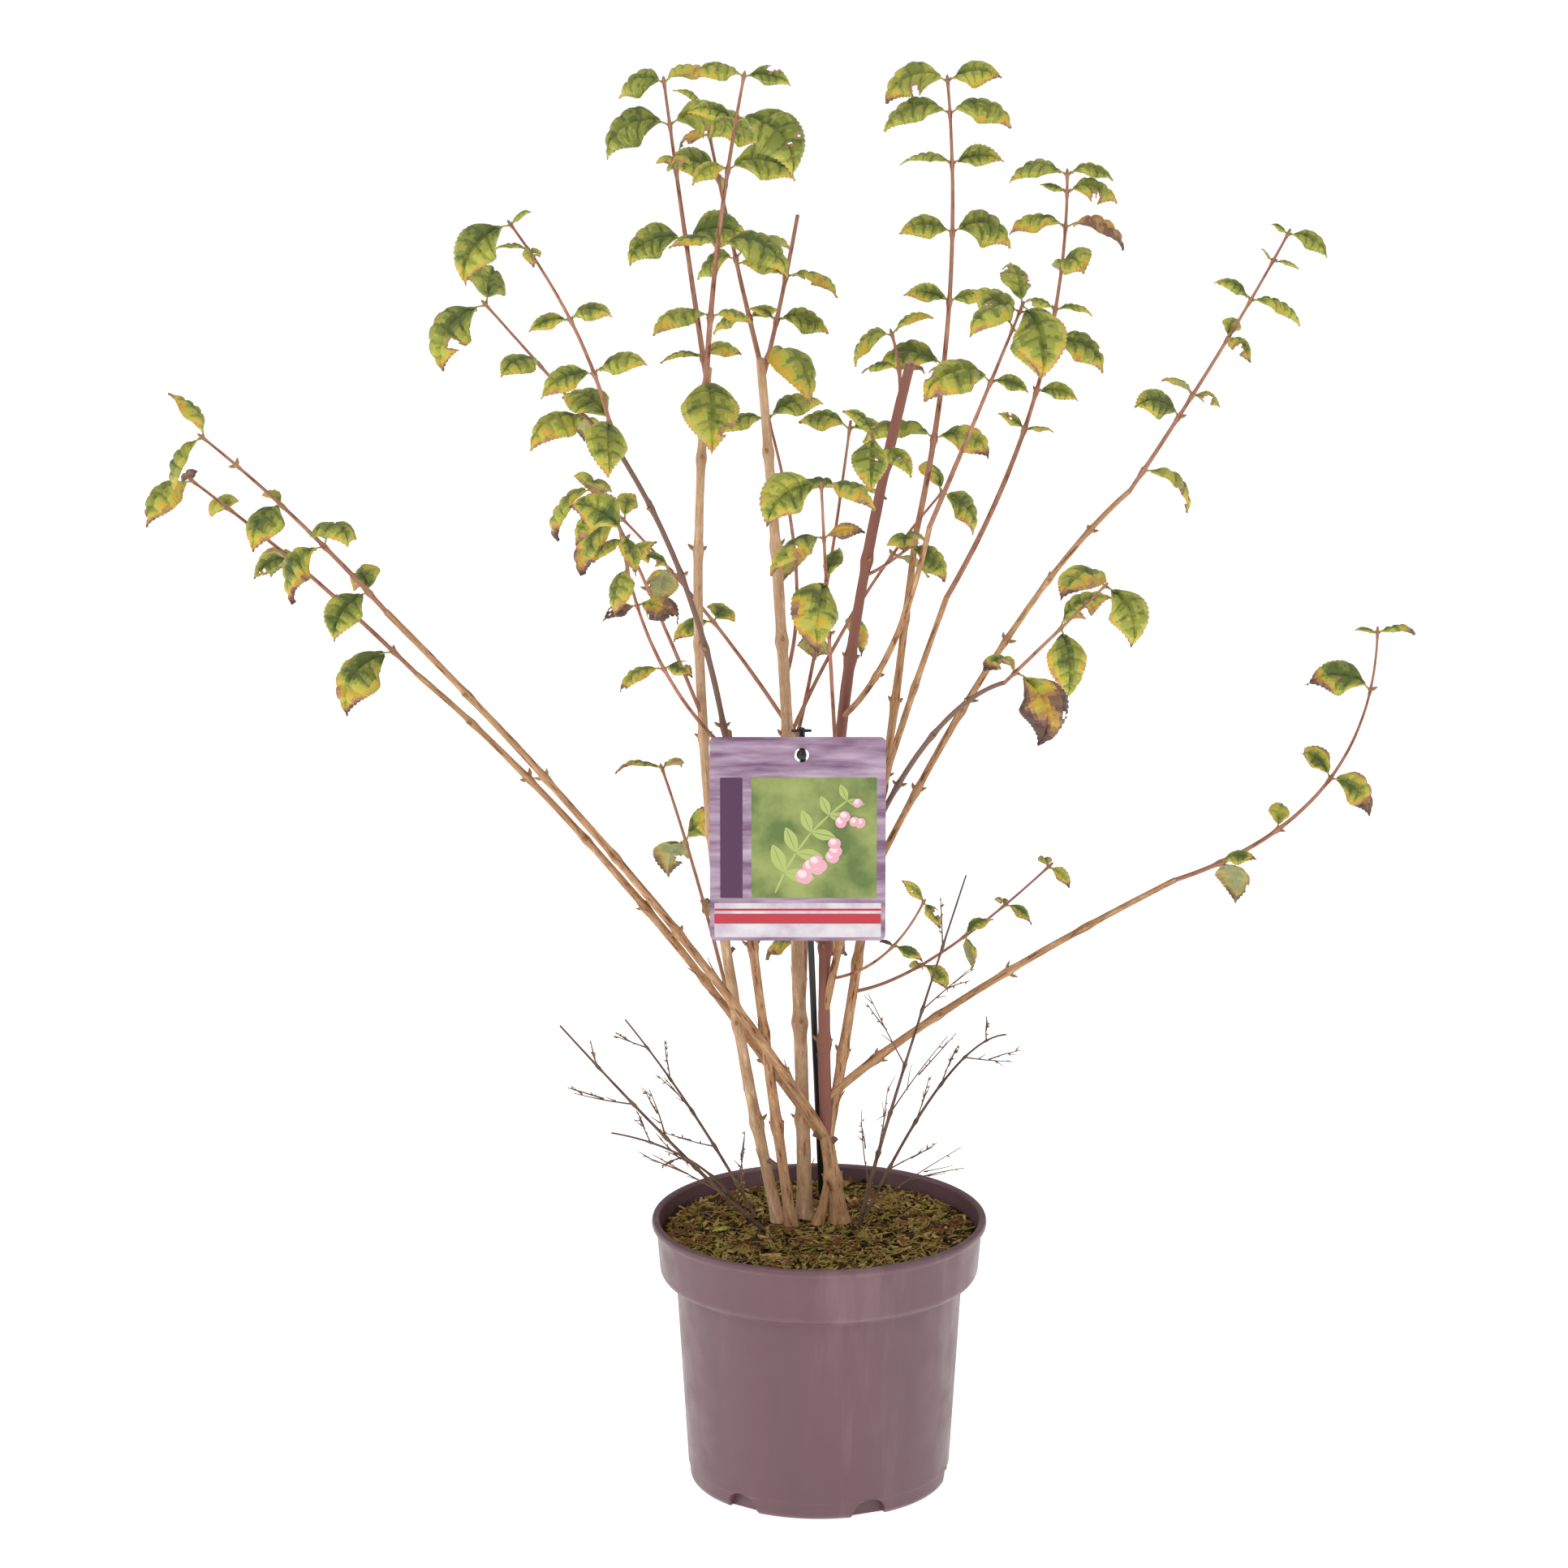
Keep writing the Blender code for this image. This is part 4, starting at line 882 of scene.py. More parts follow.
def bud(root, direction, length, radius, material=0):
    """One pointed bud: a short stalk, a swollen middle and a sharp tip."""
    centres = [root + direction * length * share for share in (0.0, 0.18, 0.4, 0.65, 0.85, 1.0)]
    radii = [radius * size for size in (0.6, 0.75, 1.0, 0.85, 0.45, 0.12)]
    return tube(centres, radii, 6, material)


def make_canes(growth):
    """Every trunk, cane and bough in barked relief, with buds in pairs at its nodes."""
    finishes = bark_finishes()
    depth = looks("bark").relief / MM
    buds = new_bmesh()
    rng = random.Random(21)
    for seed, plan in enumerate(LIMBS):
        start, end, bow = growth.paths[plan.name]
        length = (end - start).length
        nodes = even_nodes(plan, start)
        rows = max(12, round(length / 2.2))
        rooted = not isinstance(plan.start[0], str)
        centres = []
        radii = []
        for row in range(rows + 1):
            share = row / rows
            centres.append(path_point(start, end, bow, share))
            taper = plan.radii[0] + (plan.radii[1] - plan.radii[0]) * share
            radii.append(taper * (1 + node_swelling(share, nodes, length, looks("bark").node_swell)))
        shape = bark_shape(seed, depth * (1.3 if plan.radii[0] > 3 else 0.7), plan.radii[0],
                           start if rooted else None)
        skin = tube(centres, radii, 20 if plan.radii[0] > 3 else 14, shape=shape, upright_start=rooted)
        mesh_piece(plan.name + "_bark", skin, [finishes[plan.tint], finishes["wound"]], (plan.name,))
        for index, share in enumerate(nodes):
            root = path_point(start, end, bow, share)
            ahead = (path_point(start, end, bow, share + 0.01) - root).normalized()
            right, back = stem_axes(ahead)
            for side in (0, 1):
                angle = math.radians(90 * index + 180 * side + rng.uniform(-20, 20))
                out = right * math.cos(angle) + back * math.sin(angle)
                lean = rng.uniform(0.8, 1.5)
                girth = plan.radii[0] + (plan.radii[1] - plan.radii[0]) * share
                aim = (out + ahead * lean).normalized()
                if rng.random() < 0.85:
                    base = root + out * girth * 0.75
                    add_to(buds, bud(base, aim, rng.uniform(4.5, 7.5), rng.uniform(1.0, 1.5)))
    mesh_piece("cane_buds", buds, [finishes["bud"]])


def make_cane_extras(growth):
    """The second prong of the trunk, the cut top of the red cane, stubs and peeling strips of bark."""
    finishes = bark_finishes()
    rng = random.Random(22)
    start, end, bow = growth.paths["trunk"]
    joint = path_point(start, end, bow, 0.72)
    foot = Vector((-1.0, -3.0, SOIL_TOP + GAP))
    centres = [foot.lerp(joint, step / 24) + Vector((1.5, 0, 0)) * math.sin(math.pi * step / 24)
               for step in range(25)]
    shape = bark_shape(31, 0.4, 3.3, foot)
    prong = tube(centres, [3.3 - 0.03 * step for step in range(25)], 16, shape=shape, upright_start=True)
    mesh_piece("trunk_prong", prong, [finishes["bark"]])

    stubs = new_bmesh()
    for name, share, turn, long, thick in (("trunk", 0.93, 200, 11, 2.2), ("trunk", 0.86, 330, 9, 1.9),
                                           ("cane_front_left", 0.09, 170, 13, 1.8),
                                           ("cane_left_upright", 0.3, 20, 8, 1.4),
                                           ("cane_centre", 0.44, 200, 7, 1.5),
                                           ("cane_red_pruned", 0.3, 150, 9, 1.5)):
        start, end, bow = growth.paths[name]
        root = path_point(start, end, bow, share)
        ahead = (path_point(start, end, bow, share + 0.01) - root).normalized()
        right, back = stem_axes(ahead)
        angle = math.radians(turn)
        aim = (right * math.cos(angle) + back * math.sin(angle) + ahead * 0.9).normalized()
        centres = [root + aim * long * step / 6 for step in range(7)]
        add_to(stubs, tube(centres, [thick * (1 + 0.2 * (step == 6)) for step in range(7)], 10,
                           shape=bark_shape(turn, 0.3, thick, None), tip=0.05))
    mesh_piece("cut_stubs", stubs, [finishes["dark"]])

    cut = growth.paths["cane_red_pruned"]
    top = path_point(*cut, 1.0)
    ahead = (top - path_point(*cut, 0.97)).normalized()
    lean = (ahead + Vector((0.25, -0.5, 0))).normalized()
    bm = new_bmesh()
    tilt = Vector((0, 0, 1)).rotation_difference(lean).to_matrix().to_4x4()
    place = Matrix.Translation(top + ahead * 0.6) @ tilt
    bmesh.ops.create_cone(bm, cap_ends=True, segments=24, radius1=3.3, radius2=2.8, depth=2.2, matrix=place)
    mesh_piece("cane_red_cut", bm, [finishes["wound"]])

    strips = new_bmesh()
    for name, low, high, count in (("trunk", 0.2, 1.0, 7), ("cane_centre", 0.02, 0.3, 12),
                                   ("cane_left_upright", 0.05, 0.4, 8), ("cane_front_left", 0.05, 0.6, 9),
                                   ("cane_far_left_upper", 0.05, 0.4, 8),
                                   ("cane_far_left_lower", 0.05, 0.4, 8),
                                   ("cane_red_pruned", 0.05, 0.4, 6), ("cane_right_tall", 0.05, 0.4, 7)):
        start, end, bow = growth.paths[name]
        girth = next(plan.radii[0] for plan in LIMBS if plan.name == name)
        for _ in range(count):
            share = rng.uniform(low, high)
            root = path_point(start, end, bow, share)
            ahead = (path_point(start, end, bow, share + 0.01) - root).normalized()
            right, back = stem_axes(ahead)
            angle = rng.uniform(0, math.tau)
            add_to(strips, peel(root, ahead, right * math.cos(angle) + back * math.sin(angle), girth, rng))
    mesh_piece("bark_peelings", strips, [finishes["bark"], finishes["light"]])


def peel(root, ahead, out, girth, rng):
    """One thin strip of bark that lifts off at its end and curls."""
    bm = new_bmesh()
    long = rng.uniform(9, 22)
    wide = rng.uniform(1.0, 2.2)
    lift = rng.uniform(1.2, 4.5)
    bmesh.ops.create_grid(bm, x_segments=10, y_segments=3, size=1.0, calc_uvs=True)
    aside = ahead.cross(out)
    tint = rng.choice((0, 0, 1))
    sway = rng.uniform(-1.5, 1.5)
    for vert in bm.verts:
        share = (vert.co.x + 1) / 2
        across = vert.co.y * wide / 2 * (1 - 0.6 * share ** 2)
        away = girth * 0.97 + lift * share ** 2.2 - 0.25 * abs(vert.co.y)
        vert.co = root + ahead * long * share + aside * (across + sway * share ** 2) + out * away
    bmesh.ops.solidify(bm, geom=bm.faces[:], thickness=0.25)
    for face in bm.faces:
        face.material_index = tint
    bmesh.ops.recalc_face_normals(bm, faces=bm.faces)
    return bm


Blade = namedtuple("Blade", "root level side pitch length droop roll half curl")


def blade_place(blade, share):
    """The leaf's middle line at a share of its length: point, direction along, across and up."""
    angle = blade.pitch - blade.droop * share
    forward = (math.sin(blade.pitch) - math.sin(angle)) / blade.droop
    rise = (math.cos(angle) - math.cos(blade.pitch)) / blade.droop
    point = blade.root + (blade.level * forward + Vector((0, 0, rise))) * blade.length
    along = blade.level * math.cos(angle) + Vector((0, 0, math.sin(angle)))
    across = Quaternion(along, blade.roll * min(1.0, share / LEAF_ROLL_SHARE)) @ blade.side
    return point, along, across, along.cross(across)


def blade_width(share):
    """Half width of a deutzia leaf at a share of its blade: broad near the base, drawn out to a tip."""
    widest = 0.32
    if share < widest:
        return math.sin(math.pi / 2 * share / widest) ** 0.72
    rest = (share - widest) / (1 - widest)
    return (1 - rest ** 1.9) ** (1.0 + 0.35 * rest)


def leaf_blade(blade, age, rng):
    """One blade: teeth, sunken veins, swollen quilting, bites, and a tint dealt to each face."""
    values = looks("leaf")
    long = blade.length * (1 - STALK_SHARE)
    rows = 3 * max(7, round(long / 3.1))
    columns = 12 if blade.length >= LEAF_YOUNG else 8
    bm = new_bmesh()
    bmesh.ops.create_grid(bm, x_segments=rows, y_segments=columns, size=1.0, calc_uvs=True)
    shift = Vector((rng.uniform(-99, 99), rng.uniform(-99, 99), rng.uniform(-99, 99)))
    spots = {}
    for face in bm.faces:
        middle = face.calc_center_median()
        spots[face] = ((middle.x + 1) / 2, middle.y)
    veins = rng.uniform(4.6, 5.6)
    tooth = values.tooth / MM * min(1.0, long / 48)
    swell = values.vein / MM * min(1.0, long / 52)
    base = 0.26 - 0.2 * age + rng.uniform(-0.09, 0.09)
    slope = 0.2 + 1.3 * age + rng.uniform(-0.1, 0.2)
    if rng.random() < 0.16 * age:
        base = 0.72
    bites = []
    if rng.random() < 0.3:
        for _ in range(rng.choice((1, 1, 2))):
            side = rng.choice((-1, 1)) * rng.uniform(0.75, 1.05)
            bites.append((rng.uniform(0.25, 0.95), side, rng.uniform(1.8, 4.5)))
    if rng.random() < 0.1:
        bites += [(rng.uniform(0.3, 0.8), rng.uniform(-0.6, 0.6), rng.uniform(0.7, 1.2))
                  for _ in range(rng.choice((1, 2)))]
    eaten = []
    for face, (share, aside) in spots.items():
        width = blade.half * blade_width(share)
        edge = abs(aside)
        patch = noise.noise(Vector((share * long, aside * width, 0)) * 0.085 + shift)
        fleck = noise.noise(Vector((share * long, aside * width, 0)) * 0.42 + shift)
        tip = max(0.0, (share - 0.5) / 0.5)
        score = base + slope * (0.5 * edge ** 2.6 + 0.72 * tip ** 2.0 + 0.2 * share)
        score += patch * (0.14 + 0.5 * age) + fleck * 0.13
        rib = share * veins - 0.25 - edge * 0.1
        vein = math.exp(-((rib - round(rib)) / 0.13) ** 2) * min(1.0, 4 * (1.05 - edge))
        if score < 0.9:
            score -= 0.17 * max(vein, math.exp(-(edge * columns / 1.7) ** 2))
        face.material_index = sum(score > limit for limit in TINT_EDGES)
        for place, aside_of_bite, reach in bites:
            gap = math.hypot((share - place) * long, (aside - aside_of_bite) * max(width, 3.0))
            if gap < reach * (1 + 0.5 * fleck):
                eaten.append(face)
                break
            if gap < reach * 1.25 + 0.7:
                face.material_index = max(face.material_index, 6)
    for vert in bm.verts:
        share = (vert.co.x + 1) / 2
        aside = vert.co.y
        edge = abs(aside)
        width = blade.half * blade_width(share)
        saw = (round(share * rows) % 3) / 2
        slant = 0.13 * edge * (1 - share) * min(1.0, share / 0.12)
        forward = share + slant + (saw - 0.3) * 0.35 * tooth / long * edge ** 8
        ends = min(1.0, share / 0.08) * min(1.0, (1 - share) / 0.04)
        reach = aside * (width + (saw - 0.4) * tooth * edge ** 8 * ends)
        point, along, across, up = blade_place(blade, STALK_SHARE + (1 - STALK_SHARE) * min(forward, 1.0))
        rib = share * veins - 0.25 - edge * 0.1
        to_vein = abs(rib - round(rib))
        quilt = 1 - math.exp(-(to_vein / 0.17) ** 2)
        body = min(1.0, edge / 0.16) * min(1.0, (1.04 - edge) / 0.2)
        small = noise.noise(Vector((forward * long, reach, 0)) * 0.33 + shift) * 0.35
        height = swell * quilt * body * min(1.0, width / 6) + small * min(1.0, swell)
        height -= 0.6 * swell * math.exp(-(edge / 0.1) ** 2) * (1 - 0.6 * share)
        height += width * (0.22 * edge - (0.42 + blade.curl) * edge ** 3)
        height += noise.noise(Vector((forward * 2.3, aside * 0.8, 0)) + shift) * (0.035 + 0.05 * age) * long
        shrink = 1 - 0.22 * blade.curl * edge
        vert.co = point + across * reach * shrink + up * height
    if eaten:
        bmesh.ops.delete(bm, geom=eaten, context="FACES")
        drop_islands(bm)
    bmesh.ops.remove_doubles(bm, verts=bm.verts, dist=0.02)
    return bm


def drop_islands(bm):
    """Keep only the largest connected sheet."""
    unseen = set(bm.faces)
    sheets = []
    while unseen:
        front = [unseen.pop()]
        sheet = list(front)
        while front:
            for edge in front.pop().edges:
                for other in edge.link_faces:
                    if other in unseen:
                        unseen.discard(other)
                        front.append(other)
                        sheet.append(other)
        sheets.append(sheet)
    sheets.sort(key=len)
    loose = [face for sheet in sheets[:-1] for face in sheet]
    if loose:
        bmesh.ops.delete(bm, geom=loose, context="FACES")


def leaf_finishes():
    """The plain tints of the leaves: top sides first, then the undersides in the same order."""
    values = looks("leaf")
    made = [leaf_finish(name, getattr(values, name)) for name in TOP_TINTS]
    pale = values.under_pale
    for name, top in zip(UNDER_TINTS, TOP_TINTS):
        share = 0.62 if top in TOP_TINTS[:4] else 0.35
        mixed = tuple(a * (1 - share) + b * share for a, b in zip(getattr(values, top), pale))
        made.append(leaf_finish(name, mixed, under=True))
    return made


def leaf_droop(length, rng):
    """Long leaves hang further over than young ones."""
    spread_by = rng.uniform(-LEAF_DROOP_SPREAD, LEAF_DROOP_SPREAD)
    return math.radians(LEAF_DROOP * (length / LEAF_LONG) ** 0.6 + spread_by)


def leaf_roll(outward, rng):
    """How far a leaf is turned about its own length."""
    to_the_light = LEAF_FACE_TURN * math.cos(math.atan2(outward.y, outward.x))
    return math.radians(rng.uniform(-LEAF_ROLL_SPREAD, LEAF_ROLL_SPREAD) + to_the_light)


def grow_shoot(growth, plan, twigs, leaves):
    """Grow one shoot's stem, buds, stalks and leaves into the two joined pieces."""
    rng = random.Random(plan.seed)
    own = random.Random(plan.seed + 500)
    start, end, bow = growth.paths[plan.name]
    length = (end - start).length
    nodes = [pair[0] for pair in plan.pairs]
    rows = max(10, round(length / 2.6))
    centres = []
    radii = []
    for row in range(rows + 1):
        share = row / rows
        centres.append(path_point(start, end, bow, share))
        taper = plan.radii[0] + (plan.radii[1] - plan.radii[0]) * share
        radii.append(taper * (1 + node_swelling(share, nodes, length, 0.55, 2.6)))
    add_to(twigs, tube(centres, radii, 10, 0, shape=bark_shape(plan.seed, 0.12, plan.radii[0], None)))
    for share, turn, *lengths in plan.pairs:
        root = path_point(start, end, bow, share)
        direction = (path_point(start, end, bow, share + 0.01) - root).normalized()
        right, back = stem_axes(direction)
        for side, long in enumerate(lengths):
            angle = math.radians(turn + 180 * side + rng.uniform(-LEAF_TURN_SPREAD, LEAF_TURN_SPREAD))
            rise = math.radians(LEAF_RISE)
            out = right * math.cos(angle) + back * math.sin(angle)
            outward = out * math.cos(rise) + direction * math.sin(rise)
            droop = leaf_droop(max(long, 1), rng)
            roll = leaf_roll(outward, rng)
            girth = plan.radii[0] + (plan.radii[1] - plan.radii[0]) * share
            axil = (out + direction * 1.6).normalized()
            add_to(twigs, bud(root + out * girth * 0.5, axil, own.uniform(2.6, 4.6), own.uniform(0.7, 1.0), 1))
            if not long:
                if own.random() < 0.7:
                    add_to(twigs, bud(root, outward, BUD_LENGTH, BUD_RADIUS, 1))
                continue
            heading = math.atan2(outward.y, outward.x)
            blade = Blade(root, Vector((math.cos(heading), math.sin(heading), 0)),
                          Vector((-math.sin(heading), math.cos(heading), 0)),
                          math.asin(max(-1.0, min(1.0, outward.z))), long, droop, roll,
                          long * (LEAF_HALF_WIDTH if long >= LEAF_YOUNG else LEAF_YOUNG_HALF_WIDTH),
                          own.uniform(0.0, 0.35))
            if not growth.grown(plan.name, blade_place(blade, 0.4)[0]):
                continue
            height_share = (root.z - 420) / 560
            age = max(0.05, min(1.0, 0.95 - 0.8 * height_share + own.uniform(-0.2, 0.2)))
            add_to(leaves, leaf_blade(blade, age, own))
            stalk = [blade_place(blade, STALK_SHARE * 1.6 * step / 5)[0] for step in range(6)]
            add_to(twigs, tube(stalk, [0.95, 0.72, 0.62, 0.58, 0.5, 0.3], 6, 2))
        if share > 0.95 and max(lengths) > 0:
            add_to(twigs, bud(root + direction, direction, 4.5, 1.1, 1))


def make_shoots(growth):
    """All leafy shoots, as joined twigs and joined leaves for each part of the crown."""
    barks = bark_finishes()
    values = looks("leaf")
    stalk = leaf_finish("leaf_stalk", values.stalk)
    plans = {plan.name: plan for plan in SHOOTS}
    for group, names in GROUPS.items():
        twigs = new_bmesh()
        leaves = new_bmesh()
        for name in names:
            grow_shoot(growth, plans[name], twigs, leaves)
        mesh_piece("twigs_" + group, twigs, [barks["twig"], barks["bud"], stalk], names)
        piece = mesh_piece("leaves_" + group, leaves, leaf_finishes(), names)
        thick = piece.modifiers.new("Thickness", "SOLIDIFY")
        thick.thickness = values.thickness
        thick.offset = -1.0
        thick.material_offset = len(TOP_TINTS)
        thick.material_offset_rim = len(TOP_TINTS)


def make_sprays(growth):
    """The dry sprays low on the plant, with the fork of every twig forked once more."""
    barks = bark_finishes()
    for plan in SPRAYS:
        rng = random.Random(plan.seed)
        own = random.Random(plan.seed + 500)
        start, end, bow = growth.paths[plan.name]
        length = (end - start).length
        nodes = [(index + SPRAY_FIRST) / (plan.branches + SPRAY_FIRST) for index in range(plan.branches)]
        rows = max(10, round(length / 3))
        centres = [path_point(start, end, bow, row / rows) for row in range(rows + 1)]
        radii = []
        for row in range(rows + 1):
            taper = plan.radii[0] + (plan.radii[1] - plan.radii[0]) * row / rows
            radii.append(taper * (1 + node_swelling(row / rows, nodes, length, 0.7, 2.2)))
        bm = tube(centres, radii, 8, 0, shape=bark_shape(plan.seed, 0.15, plan.radii[0], None),
                  upright_start=not isinstance(plan.start[0], str))
        for index, share in enumerate(nodes):
            root = path_point(start, end, bow, share)
            direction = (path_point(start, end, bow, share + 0.01) - root).normalized()
            right, back = stem_axes(direction)
            angle = math.radians(SPRAY_TURN * index + rng.uniform(-SPRAY_TURN_SPREAD, SPRAY_TURN_SPREAD))
            out = right * math.cos(angle) + back * math.sin(angle)
            aim = (direction + out * rng.uniform(*SPRAY_LEAN)).normalized()
            reach = length * rng.uniform(*SPRAY_REACH) * (1 - share / 2)
            fork = root + aim * reach * SPRAY_FORK_SHARE
            fork_aim = (aim + back * rng.uniform(-SPRAY_FORK_LEAN, SPRAY_FORK_LEAN)).normalized()
            for base, heading, long in ((root, aim, reach), (fork, fork_aim, reach * SPRAY_FORK_REACH)):
                if not growth.grown(plan.name, base + heading * long * 0.8):
                    break
                add_to(bm, dry_twig(base, heading, long, plan.radii[1], own))
                for spot in (0.3, 0.62, 0.86):
                    knot = base + heading * long * spot
                    side = Quaternion(heading, own.uniform(0, math.tau)) @ heading.orthogonal().normalized()
                    add_to(bm, bud(knot, (side + heading * 0.8).normalized(), own.uniform(1.8, 3.6), 0.6, 1))
                    if own.random() < 0.55:
                        lean = (heading + side * own.uniform(0.4, 0.9)).normalized()
                        short = long * own.uniform(0.18, 0.3)
                        add_to(bm, dry_twig(knot, lean, short, plan.radii[1] * 0.7, own))
        mesh_piece(plan.name + "_twigs", bm, [barks["dry"], barks["bud"]], (plan.name,))


def dry_twig(base, heading, long, radius, rng):
    """A thin dead twig with a slight crook."""
    side = Quaternion(heading, rng.uniform(0, math.tau)) @ heading.orthogonal().normalized()
    rows = max(5, round(long / 5))
    bend = long * rng.uniform(-0.03, 0.03)
    centres = [base + heading * long * row / rows + side * bend * math.sin(math.pi * row / rows)
               for row in range(rows + 1)]
    radii = [radius * (1.0 - 0.55 * row / rows) for row in range(rows + 1)]
    return tube(centres, radii, 5, 0)


def make_fallen_leaf():
    """A small green leaf on the mulch in front of the canes."""
    rng = random.Random(77)
    spot = Vector((-58.0, -12.0, 0.0))
    spot.z = soil_height(spot.x, spot.y) + 4.0
    heading = math.radians(200)
    blade = Blade(spot, Vector((math.cos(heading), math.sin(heading), 0)),
                  Vector((-math.sin(heading), math.cos(heading), 0)), 0.25, 17.0, 0.6, 0.2, 5.2, 0.1)
    piece = mesh_piece("fallen_leaf", leaf_blade(blade, 0.1, rng), leaf_finishes())
    thick = piece.modifiers.new("Thickness", "SOLIDIFY")
    thick.thickness = looks("leaf").thickness
    thick.offset = -1.0
    thick.material_offset = len(TOP_TINTS)
    thick.material_offset_rim = len(TOP_TINTS)


def make_label_stick():
    """The black stick with its bar on top and the peg through the card's hole."""
    foot = Vector((*STICK_FOOT, SOIL_TOP + GAP))
    top = Vector(STICK_TOP)
    made, tree, shader = finish("stick_plastic", looks("label").stick, 0.32)
    if tree is not None:
        where = place_on(tree, "Object", (1.0, 1.0, 1.0))
        relief(tree, shader, cloud(tree, where, 700.0, 2.0), 0.00005, 0.5)
    bm = tube([foot.lerp(top, step / 40) for step in range(41)], [2.2] * 41, 20, upright_start=True, tip=0.3)
    hole_x, hole_z = CARD_HOLE
    back = Vector((hole_x, top.y + 4.0, hole_z + 1.0))
    front = Vector((hole_x, CARD_CENTRE.y - 5.0, hole_z + 1.0))
    centres = [back.lerp(front, share) for share in (0, 0.4, 0.68, 0.72, 0.76, 0.9, 1.0)]
    add_to(bm, tube(centres, (1.7, 1.7, 1.7, 2.4, 3.3, 3.4, 2.9), 20, tip=0.3))
    bar = [Vector((hole_x + step, top.y, top.z - 1.2)) for step in (-6.5, -3, 0, 3, 6.5)]
    add_to(bm, tube(bar, (0.9, 1.1, 1.2, 1.1, 0.9), 10))
    mesh_piece("label_stick_fine", bm, [made], ("label_stick",))


def make_label_card():
    """The stiff card with rounded corners and a punched hole, and its plain generic print."""
    values = looks("label")
    bm = new_bmesh()
    bmesh.ops.create_cube(bm, size=1.0)
    bmesh.ops.scale(bm, vec=CARD_SIZE, verts=bm.verts)
    corners = [edge for edge in bm.edges if abs(edge.verts[0].co.y - edge.verts[1].co.y) > CARD_SIZE.y / 2]
    bmesh.ops.bevel(bm, geom=corners, offset=4.0, offset_type="OFFSET", segments=8, profile=0.5,
                    affect="EDGES", material=-1)
    rims = [edge for edge in bm.edges if edge.is_manifold and edge.calc_face_angle() > 1.2]
    bmesh.ops.bevel(bm, geom=rims, offset=0.15, offset_type="OFFSET", segments=2, profile=0.5, affect="EDGES",
                    material=-1)
    bmesh.ops.translate(bm, vec=CARD_CENTRE, verts=bm.verts)
    stock = print_finish("card_mauve", values.mauve, values.lilac, 16.0, (1.0, 1.0, 7.0))
    card = mesh_piece("label_card_stock", bm, [stock], ("label_card",))
    hole_x, hole_z = CARD_HOLE
    bm = bmesh.new()
    place = Matrix.Translation((hole_x, CARD_CENTRE.y, hole_z)) @ Matrix.Rotation(math.pi / 2, 4, "X")
    bmesh.ops.create_cone(bm, cap_ends=True, segments=48, radius1=5.0, radius2=5.0, depth=12.0, matrix=place)
    cut_from(card, [helper_object("punch", bm)])
    make_label_print(values)


class Print:
    """Thin flat shapes laid on the front of the card, in the card's own plane."""

    def __init__(self):
        self.bm = new_bmesh()

    def lay(self, verts, layer, ink):
        """Bring new flat verts to the card's front and ink their faces."""
        front = CARD_LOW.y - 0.06 * (layer + 1)
        place = Matrix(((1, 0, 0, CARD_LOW.x), (0, 0, 0, front), (0, 1, 0, CARD_LOW.z), (0, 0, 0, 1)))
        for vert in verts:
            vert.co = place @ Vector((vert.co.x, vert.co.y, 0))
        for face in {face for vert in verts for face in vert.link_faces}:
            face.material_index = ink
            if face.normal.y > 0:
                face.normal_flip()

    def round(self, x, y, wide, tall, turn, layer, ink, pinch=0.0):
        """An oval, or a pointed leaf where it is pinched."""
        made = bmesh.ops.create_circle(self.bm, cap_ends=True, segments=28, radius=1.0)
        for vert in made["verts"]:
            along = vert.co.x
            narrow = (1 - abs(along) ** 1.6) ** 0.5 if pinch else 1.0
            vert.co = Vector((along * wide / 2, vert.co.y * tall / 2 * (1 - pinch + pinch * narrow), 0))
        spin = Matrix.Translation((x, y, 0)) @ Matrix.Rotation(math.radians(turn), 4, "Z")
        for vert in made["verts"]:
            vert.co = spin @ vert.co
        self.bm.normal_update()
        self.lay(made["verts"], layer, ink)

    def block(self, x, y, wide, tall, layer, ink, soft=0.8):
        """A rectangle with small round corners."""
        made = bmesh.ops.create_circle(self.bm, cap_ends=True, segments=32, radius=1.0)
        for vert in made["verts"]:
            sx = math.copysign(1, vert.co.x)
            sy = math.copysign(1, vert.co.y)
            vert.co = Vector((x + wide / 2 + sx * (wide / 2 - soft) + vert.co.x * soft,
                              y + tall / 2 + sy * (tall / 2 - soft) + vert.co.y * soft, 0))
        self.bm.normal_update()
        self.lay(made["verts"], layer, ink)

    def strand(self, points, wide, layer, ink):
        """A thin curved stalk through a few points."""
        for before, after in zip(points, points[1:]):
            middle = (Vector(before) + Vector(after)) / 2
            run = Vector(after) - Vector(before)
            self.round(middle.x, middle.y, run.length + wide, wide, math.degrees(math.atan2(run.y, run.x)),
                       layer, ink)


